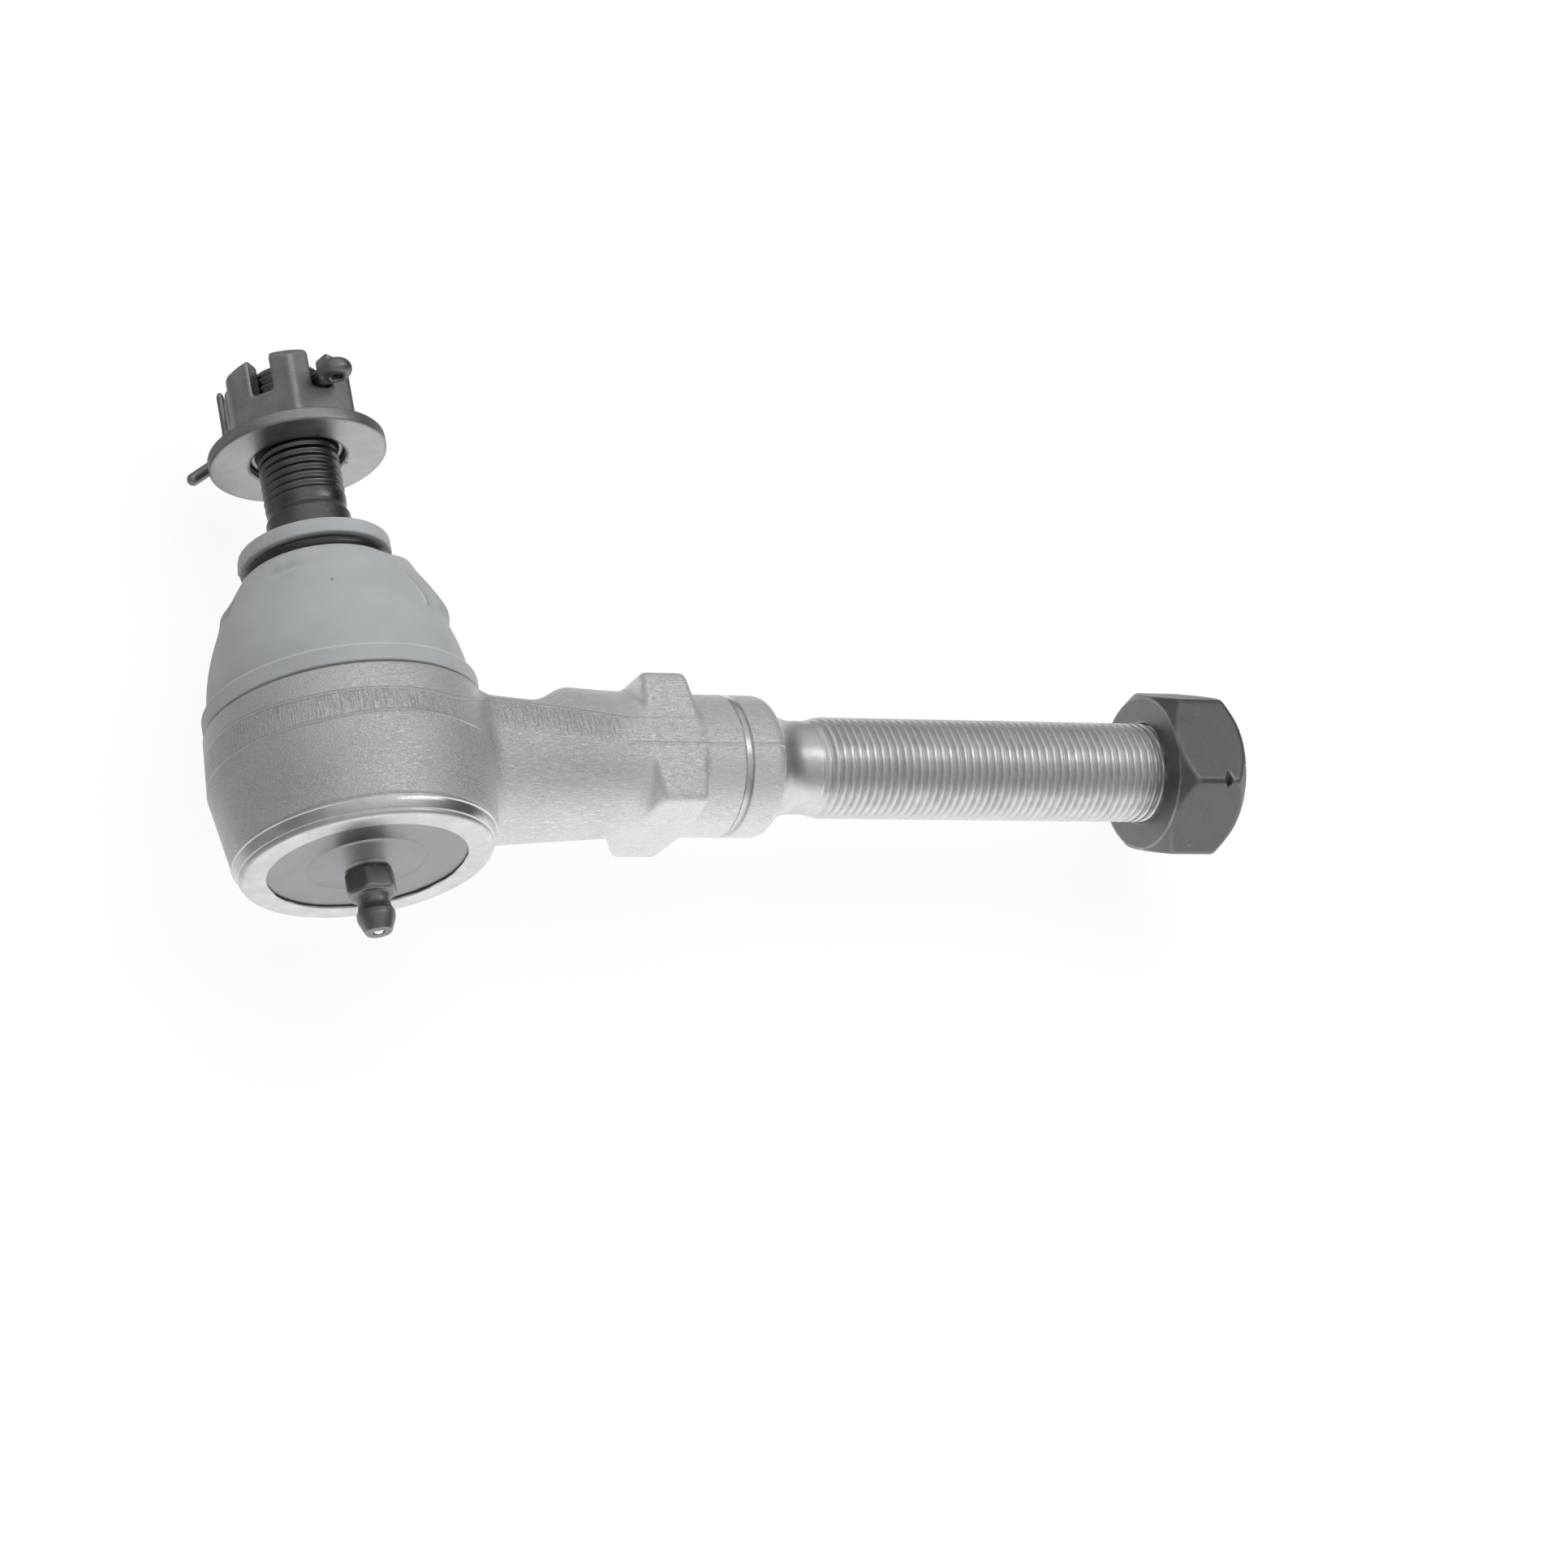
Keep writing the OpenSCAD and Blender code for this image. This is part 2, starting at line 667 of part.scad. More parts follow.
module captive_washer() {
  sink_r = skirt_r + skirt_flare + 2 * washer_gap;
  sink_z = skirt_z + skirt_flare_h + washer_gap;
  top_z = washer_z + washer_t;
  color("#55534f") lay() rotate_extrude() polygon(concat(
    [[sink_r, washer_z]],
    arc(washer_r - washer_edge, washer_z + washer_edge, washer_edge, -90, 0, 4),
    arc(washer_r - washer_edge, top_z - washer_edge, washer_edge, 0, 90, 4),
    [[washer_hole_r, top_z], [washer_hole_r, sink_z]]
  ));
}

// Split pin: eye in front of the nut, one leg bent up and one bent down behind it
module cotter_pin() {
  pin_r = cotter_d / 2;
  leg_r = pin_r * leg_share;
  knee_r = leg_r + 4 * eps;
  out_y = nut_af / 2 + leg_r + leg_gap;
  up_y = out_y + up_back;
  eye_y = -nut_af / 2 - eye_gap - eye_in_r - pin_r;
  foot_z = washer_z + washer_t + leg_r + leg_gap;
  start = [0, out_y, cotter_z];
  up = [start, [-up_lean, up_y, cotter_z + leg_gap], [-up_lean, up_y, cotter_z + up_h]];
  knee = [-knee_side, out_y + knee_back, cotter_z - knee_drop];
  down = [start, knee, [-foot_side, washer_r + foot_past, foot_z]];
  color("#34322f") lay() rotate([0, 0, nut_turn]) {
    translate([eye_side, eye_y, cotter_z]) rotate_extrude()
      polygon(arc(eye_in_r, 0, pin_r, -90, 90, 10));
    bar([0, eye_y + eye_in_r + pin_r / 2, cotter_z], [0, out_y + leg_r / 2, cotter_z], pin_r);
    for (leg = [up, down]) {
      bar(leg[0], leg[1], leg_r);
      bar(leg[1], leg[2], leg_r);
      translate(leg[1]) sphere(r = knee_r, $fn = 24);
    }
  }
}

module jam_nut() {
  chamfer = 2.4;
  color("#3f3f3f") lay() rotate([jam_turn, 0, 0]) translate([jam_x, 0, 0]) rotate([0, 90, 0])
    difference() {
      chamfered_hexagon(jam_af, jam_t, chamfer);
      translate([0, 0, -over]) cylinder(h = jam_t + 2 * over, r = jam_bore_r);
    }
}

housing();
upper_bearing();
bearing_liner();
lower_seat();
preload_spring();
cover_plate();
grease_fitting_body();
grease_check_ball();
grease_check_spring();
dust_boot();
boot_base_ring();
boot_neck_ring();
ball_stud();
castle_nut();
captive_washer();
cotter_pin();
jam_nut();
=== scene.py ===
"""Tie rod end: forged socket, ball stud under a rubber boot, castle nut, threaded shank and jam nut.

The part lies on its side: +X runs along the shank, +Y along the stud and +Z up. Lengths are metres.
"""

import math
from itertools import product

import bpy
import numpy as np
from bpy.props import FloatProperty, FloatVectorProperty, PointerProperty
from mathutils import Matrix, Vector


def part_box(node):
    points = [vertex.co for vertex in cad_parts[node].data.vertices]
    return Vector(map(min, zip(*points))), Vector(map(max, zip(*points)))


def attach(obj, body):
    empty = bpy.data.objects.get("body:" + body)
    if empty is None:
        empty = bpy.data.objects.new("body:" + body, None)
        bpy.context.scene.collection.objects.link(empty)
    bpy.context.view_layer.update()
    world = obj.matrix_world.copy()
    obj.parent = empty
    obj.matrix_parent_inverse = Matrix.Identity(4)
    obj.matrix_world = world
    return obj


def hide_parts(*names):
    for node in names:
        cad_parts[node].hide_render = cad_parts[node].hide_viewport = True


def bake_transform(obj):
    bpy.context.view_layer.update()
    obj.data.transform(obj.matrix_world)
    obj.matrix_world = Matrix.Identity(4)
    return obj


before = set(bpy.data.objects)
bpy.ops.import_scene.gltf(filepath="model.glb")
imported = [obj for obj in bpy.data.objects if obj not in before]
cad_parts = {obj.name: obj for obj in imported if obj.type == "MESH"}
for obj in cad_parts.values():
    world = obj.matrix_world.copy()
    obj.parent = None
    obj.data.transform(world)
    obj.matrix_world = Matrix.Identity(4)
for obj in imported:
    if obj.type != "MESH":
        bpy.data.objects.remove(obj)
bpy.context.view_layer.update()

bl_info = {
    "name": "Tie rod end",
    "version": (1, 0, 0),
    "blender": (4, 5, 0),
    "location": "3D View > Sidebar > Tie rod end",
    "description": "Dresses the packed tie rod end with its forged, turned and moulded surfaces",
    "category": "Add Mesh",
}

MM = 0.001
LOW = {name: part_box(name)[0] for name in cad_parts}
HIGH = {name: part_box(name)[1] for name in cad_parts}


def length(name, description, millimetres):
    """A length that a user can change."""
    return FloatProperty(
        name=name, description=description, default=millimetres * MM, unit="LENGTH", precision=5
    )


def colour(name, description, red, green, blue):
    """A colour that a user can change."""
    return FloatVectorProperty(
        name=name, description=description, default=(red, green, blue), subtype="COLOR", min=0, max=1
    )


def brightness(name, description, default):
    """A brightness that a user can change."""
    return FloatProperty(name=name, description=description, default=default, min=0)


def direction(name, description, default):
    """A way through the scene that a user can change."""
    return FloatVectorProperty(name=name, description=description, default=default, subtype="DIRECTION")


class ForgingSizes(bpy.types.PropertyGroup):
    """Sizes of the forged socket, its neck and the machined shank."""

    socket_r: length("Socket radius", "Radius of the socket's belly", 24.5)
    shoulder_r: length("Shoulder radius", "Radius of the shoulder that carries the boot", 23.8)
    spigot_r: length("Spigot radius", "Radius of the spigot inside the boot", 20.5)
    rim_r: length("Rim radius", "Radius of the crimped rim", 22.5)
    bore_r: length("Bore radius", "Radius of the bearing bore", 17.6)
    arm_r: length("Neck radius", "Radius of the forged neck at the socket", 14.6)
    valley_y: length("Valley height", "Height of the neck's top in its valley", 6.4)
    collar_r: length("Collar radius", "Radius of the collar beside the wrench square", 12.4)
    square_w: length("Wrench square", "Width across the flats of the wrench square", 24.7)
    ridge_h: length("Parting line", "Height of the fine ridges that the dies left", 0.3)
    plain_r: length("Plain shank radius", "Radius of the shank between collar and thread", 8.2)
    thread_r: length("Thread radius", "Outside radius of the shank's thread", 8.9)
    pitch: length("Pitch", "Pitch of both threads", 1.5)


class BootSizes(bpy.types.PropertyGroup):
    """Sizes of the dust boot's moulded form and of its folds."""

    lip_r: length("Base lip radius", "Outside radius of the boot's base lip", 23.5)
    lip_h: length("Base lip height", "Height of the boot's base lip", 3.6)
    dome_r: length("Dome radius", "Outside radius of the dome at its foot", 22.4)
    top_r: length("Top radius", "Outside radius of the top lip and of the dome's top", 13.1)
    wall: length("Wall", "Thickness of the rubber", 2)
    fold_h: length("Fold height", "Height of the fold on the shank's side", 1.5)
    dimple_h: length("Dimple depth", "Depth of the pressed dimple near the ring", 1.0)


class NutSizes(bpy.types.PropertyGroup):
    """Sizes of the castle nut, the cotter pin and the jam nut."""

    castle_w: length("Castle nut", "Width across the castle nut's flats", 20.8)
    slot_w: length("Slot width", "Width of the castle nut's slots", 3.9)
    slot_h: length("Slot depth", "Depth of the castle nut's slots", 7.1)
    turn: FloatProperty(
        name="Nut turn", description="Turn of nut and cotter pin on the stud",
        default=math.radians(12.5), subtype="ANGLE"
    )
    cotter_drop: length("Cotter drop", "Depth of the cotter pin below the nut's top", 5.5)
    cotter_r: length("Cotter radius", "Radius of the closed cotter pin", 1.6)
    jam_w: length("Jam nut", "Width across the jam nut's flats", 28)


class FinishColours(bpy.types.PropertyGroup):
    """Colours of the finishes."""

    forged: colour("Forging", "Blasted forged steel", 0.785, 0.78, 0.77)
    turned: colour("Turned steel", "Bright turned and rolled steel", 0.77, 0.77, 0.77)
    plate: colour("Cover plate", "Satin pressed steel", 0.375, 0.379, 0.386)
    fitting: colour("Grease fitting", "Dark plated steel", 0.255, 0.249, 0.237)
    bright: colour("Check ball", "Polished steel", 0.85, 0.85, 0.84)
    boot: colour("Boot", "Grey rubber", 0.5, 0.522, 0.535)
    ring: colour("Ring", "Black rubber", 0.012, 0.011, 0.01)
    castle: colour("Castle nut", "Phosphate coat", 0.42, 0.418, 0.412)
    jam: colour("Jam nut", "Dark phosphate coat", 0.18, 0.178, 0.175)
    washer: colour("Washer", "Paler phosphate coat", 0.5, 0.498, 0.492)
    stud: colour("Stud", "Oiled black steel", 0.17, 0.166, 0.16)
    spring: colour("Springs", "Oiled spring steel", 0.3, 0.31, 0.33)
    polymer: colour("Bearing", "Moulded bearing polymer", 0.66, 0.62, 0.52)


class StageSettings(bpy.types.PropertyGroup):
    """Camera, light and floor."""

    camera_place: FloatVectorProperty(
        name="Camera place", description="Where the camera stands",
        default=(-0.35907, -0.37003, 0.76914), subtype="TRANSLATION", unit="LENGTH"
    )
    camera_turn: FloatVectorProperty(
        name="Camera turn", description="How the camera is turned",
        default=(0.487175, -0.433735, -0.205645), subtype="EULER"
    )
    lens: FloatProperty(
        name="Lens", description="Focal length on a 36 mm sensor", default=126.39, unit="CAMERA"
    )
    wall: brightness("Wall", "Brightness of the light tent's walls", 0.38)
    roof: brightness("Roof", "Brightness of the light tent's roof", 0.63)
    shank_end: brightness("Shank end", "Share of the walls' brightness past the shank's end", 0.22)
    socket_end: brightness("Socket end", "Share of the walls' brightness past the socket", 0.5)
    card: brightness("Card", "Brightness of the tent's front", 1.05)
    overhead: direction("Overhead", "Way from the part to the brightest light", (0.15, 0.4, 0.9))
    front: direction("Front", "Way from the part to the bright front of the tent", (0.5, -0.86, 0))
    floor: colour("Floor", "Plain pale floor", 0.9, 0.9, 0.9)


class TieRodSettings(bpy.types.PropertyGroup):
    """All settings of the tie rod end."""

    forging: PointerProperty(type=ForgingSizes)
    boot: PointerProperty(type=BootSizes)
    nuts: PointerProperty(type=NutSizes)
    colours: PointerProperty(type=FinishColours)
    stage: PointerProperty(type=StageSettings)


# Meshes


def ease(t):
    """Smooth rise from 0 to 1."""
    t = np.clip(t, 0, 1)
    return t * t * (3 - 2 * t)


def arc(centre, radius, start, end, steps=6):
    """Points of a round arc, in degrees, as (across, along) pairs."""
    turns = np.radians(np.linspace(start, end, steps + 1))
    return [(centre[0] + radius * math.cos(a), centre[1] + radius * math.sin(a)) for a in turns]


def turned(profile, segments=128, axis="Y", shape=None, ring=False):
    """Points and faces of a profile of (radius, along) pairs turned round an axis.

    A ring's profile closes on itself, and any other is capped at both ends. shape may move the points.
    """
    profile = np.array(profile, float)
    onward = np.roll(profile, -1, 0)
    if np.sum(profile[:, 0] * onward[:, 1] - onward[:, 0] * profile[:, 1]) < 0:
        profile = profile[::-1]
    turns = np.linspace(0, 2 * math.pi, segments, endpoint=False)
    radius, turn = np.meshgrid(profile[:, 0], turns, indexing="ij")
    along = np.repeat(profile[:, 1:], segments, 1)
    if shape:
        radius = shape(radius, along, turn)
    across = radius * np.cos(turn)
    over = radius * np.sin(turn)
    points = np.stack([across, along, -over] if axis == "Y" else [along, across, over], -1)
    return points.reshape(-1, 3), skin(radius.shape, ring)


def skin(counts, ring=False):
    """Faces over rows of points that go round: a ring's last row meets its first, any other is capped."""
    index = np.arange(counts[0] * counts[1]).reshape(counts)
    rows = np.vstack([index, index[:1]]) if ring else index
    near, far = rows[:-1], rows[1:]
    faces = np.stack([near, np.roll(near, -1, 1), np.roll(far, -1, 1), far], -1).reshape(-1, 4).tolist()
    if not ring:
        faces += [index[0][::-1].tolist(), index[-1].tolist()]
    return faces


def grid_lines(low, high, step, fine=()):
    """Grid lines from low to high, closer together in the fine ranges (from, to, step)."""
    stops = [low]
    while stops[-1] < high:
        here = stops[-1] + 1e-9
        stops.append(here + min([step] + [gap for start, end, gap in fine if start <= here < end]))
    return np.array(stops)


def box_lines(name, step):
    """Grid lines along x, y and z through a node's box."""
    return [grid_lines(low - MM, high + MM, step) for low, high in zip(LOW[name], HIGH[name])]


def solid_from_field(field, *lines):
    """Points and faces of the closed surface where a field is zero, on grid lines along x, y and z."""
    grid = np.stack(np.meshgrid(*lines, indexing="ij"), -1)
    value = grid_values(field, grid)
    inside = value < 0
    ends = slice(None, -1), slice(1, None)
    count = sum(inside[corner].astype(int) for corner in product(ends, repeat=3))
    cells = np.argwhere((count > 0) & (count < 8))
    number = np.full(count.shape, -1)
    number[tuple(cells.T)] = np.arange(len(cells))
    total = np.zeros((len(cells), 3))
    hits = np.zeros(len(cells))
    for start, axis in product(product((0, 1), repeat=3), range(3)):
        if start[axis]:
            continue
        first = tuple((cells + start).T)
        last = tuple((cells + start + np.eye(3, dtype=int)[axis]).T)
        crossed = inside[first] != inside[last]
        change = np.where(crossed, value[first] - value[last], 1)
        share = np.where(crossed, value[first] / change, 0)[:, None]
        total += crossed[:, None] * (grid[first] * (1 - share) + grid[last] * share)
        hits += crossed
    points = settle(field, total / hits[:, None])
    faces = []
    for axis in range(3):
        one, two = (axis + 1) % 3, (axis + 2) % 3
        near = np.take(inside, range(inside.shape[axis] - 1), axis)
        far = np.take(inside, range(1, inside.shape[axis]), axis)
        for leaving in (True, False):
            edges = np.argwhere((near != far) & (near == leaving))
            edges = edges[np.all(edges[:, [one, two]] > 0, 1)]
            corners = [edges - np.eye(3, dtype=int)[one] * i - np.eye(3, dtype=int)[two] * j
                       for i, j in ((1, 1), (0, 1), (0, 0), (1, 0))]
            quads = np.stack([number[tuple(c.T)] for c in corners], 1)
            faces.append(quads if leaving else quads[:, ::-1])
    return points, np.vstack(faces).tolist()


def grid_values(field, grid, block=4, steepest=1.3, spare=0.4 * MM):
    """Values of a field on a grid, read off a coarse grid wherever the surface is far away."""
    sides = [np.minimum((np.arange(n) + block // 2) // block, (n - 1) // block) for n in grid.shape[:3]]
    nearest = np.ix_(*sides)
    coarse = grid[::block, ::block, ::block]
    value = field(coarse.reshape(-1, 3)).reshape(coarse.shape[:3])[nearest]
    away = np.linalg.norm(grid - coarse[nearest], axis=-1)
    close = np.abs(value) < steepest * away + spare
    value[close] = field(grid[close])
    return value


def settle(field, points, reach=0.02 * MM, most=0.15 * MM, passes=4, flattest=0.05):
    """Points moved along the field's slope onto its surface."""
    ways = np.eye(3) * reach
    for _ in range(passes):
        slope = np.stack([(field(points + way) - field(points - way)) / (2 * reach) for way in ways], 1)
        push = field(points) / np.maximum((slope ** 2).sum(1), flattest)
        points = points - np.clip(push, -most, most)[:, None] * slope
    return points


def soft_min(one, two, round_r):
    """Smaller of two fields, with the corner between them filled."""
    share = np.clip(0.5 + 0.5 * (two - one) / round_r, 0, 1)
    return two + (one - two) * share - round_r * share * (1 - share)


def soft_max(one, two, round_r):
    """Larger of two fields, with the corner between them rounded off."""
    return -soft_min(-one, -two, round_r)


def outline_field(u, v, points):
    """Distance to a closed outline, below zero inside it."""
    nearest = np.full(u.shape, np.inf)
    inside = np.zeros(u.shape, bool)
    for (u0, v0), (u1, v1) in zip(points, points[1:] + points[:1]):
        du, dv = u1 - u0, v1 - v0
        share = np.clip(((u - u0) * du + (v - v0) * dv) / (du * du + dv * dv), 0, 1)
        nearest = np.minimum(nearest, (u - u0 - share * du) ** 2 + (v - v0 - share * dv) ** 2)
        if dv:
            inside ^= ((v0 > v) != (v1 > v)) & (u < u0 + du * (v - v0) / dv)
    return np.where(inside, -1, 1) * np.sqrt(nearest)


def hexagon_field(u, v, half, turn, round_r):
    """Distance to a hexagon of that half width across its flats, with its first flat at turn."""
    flats = [np.abs(u * math.cos(turn + k * math.pi / 3) + v * math.sin(turn + k * math.pi / 3)) - half
             for k in range(3)]
    return soft_max(soft_max(flats[0], flats[1], round_r), flats[2], round_r)


def bar_field(points, start, end, radius):
    """Distance to a round-ended bar."""
    start, end = np.array(start), np.array(end)
    run = end - start
    share = np.clip((points - start) @ run / (run @ run), 0, 1)
    return np.linalg.norm(points - start - share[:, None] * run, axis=1) - radius


def new_mesh(name, points, faces):
    """A mesh of points and faces."""
    mesh = bpy.data.meshes.new(name)
    mesh.from_pydata(np.asarray(points).tolist(), [], faces)
    return mesh


def new_object(name, data):
    """An object in the scene."""
    made = bpy.data.objects.new(name, data)
    bpy.context.scene.collection.objects.link(made)
    return made


def add_piece(name, shape, material, body, node, sharp=None):
    """A piece of the object, which rides on a body and stands for a node of the frame."""
    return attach(loose_piece(name, shape, material, node, sharp), body)


def loose_piece(name, shape, material, node, sharp=None):
    """A piece that stands for a node of the frame and rides on nothing yet."""
    mesh = new_mesh(name, *shape)
    mesh.shade_smooth()
    if sharp:
        mesh.set_sharp_from_angle(angle=math.radians(sharp))
    mesh.materials.append(material)
    piece = new_object(name, mesh)
    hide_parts(node)
    return piece


def add_marks(piece, marks):
    """Values on a piece's points that its finish reads by name."""
    for name, values in marks.items():
        mark = piece.data.attributes.new(name, "FLOAT", "POINT")
        mark.data.foreach_set("value", values.astype(np.float32))


# Finishes


def node(tree, kind, sockets=None, **settings):
    """A new shader node with its settings, and its sockets' values or links."""
    made = tree.nodes.new("ShaderNode" + kind)
    for key, value in settings.items():
        setattr(made, key, value)
    for key, value in (sockets or {}).items():
        if isinstance(value, bpy.types.NodeSocket):
            tree.links.new(value, made.inputs[key])
        else:
            made.inputs[key].default_value = value
    return made


def finish_material(name, metallic, roughness):
    """A material, its node tree, its shader and the object's own coordinates."""
    material = bpy.data.materials.new(name)
    material.use_nodes = True
    tree = material.node_tree
    shader = tree.nodes["Principled BSDF"]
    shader.inputs["Metallic"].default_value = metallic
    shader.inputs["Roughness"].default_value = roughness
    return material, tree, shader, node(tree, "TexCoord").outputs["Object"]


def noise(tree, place, size, detail=3, rough=0.55, stretch=None, turn=(0, 0, 0)):
    """Noise with grains of that size, drawn out along the axes by stretch."""
    if stretch:
        scale = [1 / s for s in stretch]
        place = node(tree, "Mapping", {"Vector": place, "Scale": scale, "Rotation": turn}).outputs[0]
    sockets = {"Vector": place, "Scale": 1 / size, "Detail": detail, "Roughness": rough}
    return node(tree, "TexNoise", sockets).outputs[0]


def span(tree, value, low, high, to_low=0.0, to_high=1.0):
    """A value mapped from one range to another, and kept in it."""
    sockets = {"Value": value, "From Min": low, "From Max": high, "To Min": to_low, "To Max": to_high}
    return node(tree, "MapRange", sockets).outputs[0]


def maths(tree, kind, one, two=0.0):
    """One sum of two values."""
    return node(tree, "Math", {0: one, 1: two}, operation=kind).outputs[0]


def shade(rgb, factor):
    """A colour made lighter or darker."""
    return tuple(min(1, c * factor) for c in rgb)


def tint(tree, share, one, two):
    """A colour between two others. The first may be a link."""
    first = one if isinstance(one, bpy.types.NodeSocket) else (*one, 1)
    return node(tree, "Mix", {0: share, 6: first, 7: (*two, 1)}, data_type="RGBA").outputs[2]


def paint(tree, shader, rgb, share, dark, light, layers=()):
    """A shader's colour, from dark to light by a share, under layers of (share, lightness)."""
    tone = tint(tree, share, shade(rgb, dark), shade(rgb, light))
    for cover, lightness in layers:
        tone = tint(tree, cover, tone, shade(rgb, lightness))
    tree.links.new(tone, shader.inputs["Base Color"])


def dot(tree, place, way):
    """How far a place lies along some way."""
    return node(tree, "VectorMath", {0: place, 1: way}, operation="DOT_PRODUCT").outputs["Value"]


def relief(tree, shader, layers):
    """Bumps on a shader, from layers of (height, depth in metres)."""
    normal = None
    for height, depth in layers:
        bump = node(tree, "Bump", {"Height": height, "Distance": depth, "Strength": 1.0})
        if normal:
            tree.links.new(normal, bump.inputs["Normal"])
        normal = bump.outputs[0]
    tree.links.new(normal, shader.inputs["Normal"])


def mark_value(tree, name):
    """Value of a mark on a piece's points."""
    return node(tree, "Attribute", attribute_name=name).outputs["Fac"]


def line_mark(tree, name, half):
    """1 on a line where a mark is zero, falling to 0 at half a line's width."""
    away = maths(tree, "ABSOLUTE", mark_value(tree, name))
    return span(tree, away, 0.2 * half, half, 1.0, 0.0)


def forged_steel(rgb, ridge_h):
    """Blasted forging: orange peel, sparkling grain, scratches, parting lines and trim marks, with the
    square and collar painted lighter as painted light and a painted highlight along the parting ridges.
    """
    material, tree, shader, place = finish_material("forged_steel", metallic=1, roughness=0.5)
    line_half = 0.34 * MM
    grain = noise(tree, place, 0.35 * MM, 5, 0.7)
    peel = noise(tree, place, 2.2 * MM, 3)
    cloud = noise(tree, place, 14 * MM, 2)
    scar = 0.0
    for t in (0.7, 1.6, 2.5):
        cuts = noise(tree, place, 0.32 * MM, 1, 0.4, stretch=(5, 0.6, 0.6), turn=(0.3 + t, t, 1.1 * t))
        scar = maths(tree, "MAXIMUM", span(tree, cuts, 0.585, 0.655), scar)
    over, trim = mark_value(tree, "over_line"), mark_value(tree, "trim_marks_and_collar_light")
    ridge = 0.0
    for line, shown in (("over_line", "upper_shown"), ("under_line", "lower_shown")):
        drawn = maths(tree, "MULTIPLY", line_mark(tree, line, line_half), mark_value(tree, shown))
        ridge = maths(tree, "MAXIMUM", drawn, ridge)
    streak = noise(tree, place, 0.5 * MM, 2, 0.5, stretch=(0.7, 9, 0.7))
    below, above = span(tree, over, 0.2 * MM, -0.2 * MM), span(tree, over, -6 * MM, -3.5 * MM)
    band = maths(tree, "MULTIPLY", maths(tree, "MULTIPLY", below, above), trim)
    comb = maths(tree, "MULTIPLY", span(tree, streak, 0.48, 0.66), band)
    # Painted light: past the trim zone the wrench square and collar are painted lighter, and the parting
    # ridges are painted lighter as a painted highlight.
    paint(tree, shader, rgb, span(tree, cloud, 0.35, 0.65), 0.92, 1.08, [
        (span(tree, trim, 1, 0, 0, 0.9), 1.19),
        (span(tree, over, -0.3 * MM, 0.5 * MM, 0, 0.6), 1.2),
        (span(tree, grain, 0.56, 0.78), 1.4),
        (span(tree, grain, 0.42, 0.28), 0.6),
        (maths(tree, "MULTIPLY", scar, 0.8), 1.7),
        (maths(tree, "MULTIPLY", comb, 0.22), 0.6),
        (maths(tree, "MULTIPLY", ridge, 0.75), 1.5),
    ])
    tree.links.new(span(tree, grain, 0.3, 0.7, 0.6, 0.36), shader.inputs["Roughness"])
    relief(tree, shader, [
        (peel, 0.07 * MM), (grain, 0.09 * MM), (comb, 0.09 * MM), (scar, 0.05 * MM), (ridge, ridge_h)
    ])
    return material


def turned_steel(name, rgb, axis, roughness):
    """Bright steel with fine tool lines round an axis, and a little stain."""
    material, tree, shader, place = finish_material(name, 1, roughness)
    split = node(tree, "SeparateXYZ", {0: place}).outputs
    if axis == "X":
        along = split[0]
    else:
        flat = node(tree, "CombineXYZ", {0: split[0], 2: split[2]}).outputs[0]
        radius = node(tree, "VectorMath", {0: flat}, operation="LENGTH").outputs["Value"]
        along = maths(tree, "ADD", radius, split[1])
    tool = {"W": along, "Scale": 1 / (0.22 * MM), "Detail": 3}
    lines = node(tree, "TexNoise", tool, noise_dimensions="1D").outputs[0]
    stain = noise(tree, place, 3 * MM, 4, 0.6)
    fleck = noise(tree, place, 0.5 * MM, 2, 0.5)
    paint(tree, shader, rgb, span(tree, stain, 0.35, 0.7), 1.05, 0.92, [
        (span(tree, fleck, 0.7, 0.76, 0, 0.7), 0.45),
    ])
    dull = span(tree, stain, 0.3, 0.7, roughness * 0.9, roughness * 1.2)
    rough = maths(tree, "MULTIPLY", dull, span(tree, mark_value(tree, "polish"), 0, 1, 1.0, 0.62))
    tree.links.new(rough, shader.inputs["Roughness"])
    relief(tree, shader, [(lines, 0.008 * MM)])
    return material


def coated_steel(name, rgb, roughness, edge_wear_and_light):
    """Dark coated steel: fine crystals, cloudy oil, dust, and edges painted to another lightness, partly as
    wear and partly as a painted edge highlight (painted shade where the factor is below 1).
    """
    material, tree, shader, place = finish_material(name, 1, roughness)
    crystal = noise(tree, place, 0.25 * MM, 4, 0.65)
    cloud = noise(tree, place, 5 * MM, 3, 0.6)
    dust = noise(tree, place, 0.7 * MM, 2, 0.5)
    edge = node(tree, "NewGeometry").outputs["Pointiness"]
    # Edges found by pointiness: partly wear, partly a painted highlight along them; a factor below 1 paints
    # shade there instead.
    worn_and_lit_edges = maths(tree, "MULTIPLY", span(tree, edge, 0.507, 0.54), span(tree, cloud, 0.3, 0.6, 0.25, 1.0))
    paint(tree, shader, rgb, span(tree, cloud, 0.3, 0.7), 0.85, 1.15, [
        (span(tree, crystal, 0.55, 0.8), 1.5),
        (span(tree, dust, 0.7, 0.76, 0, 0.4), 2.4),
        (worn_and_lit_edges, edge_wear_and_light),
    ])
    rough = span(tree, cloud, 0.3, 0.7, roughness * 0.85, roughness * 1.2)
    tree.links.new(rough, shader.inputs["Roughness"])
    relief(tree, shader, [(crystal, 0.025 * MM), (cloud, 0.05 * MM)])
    return material


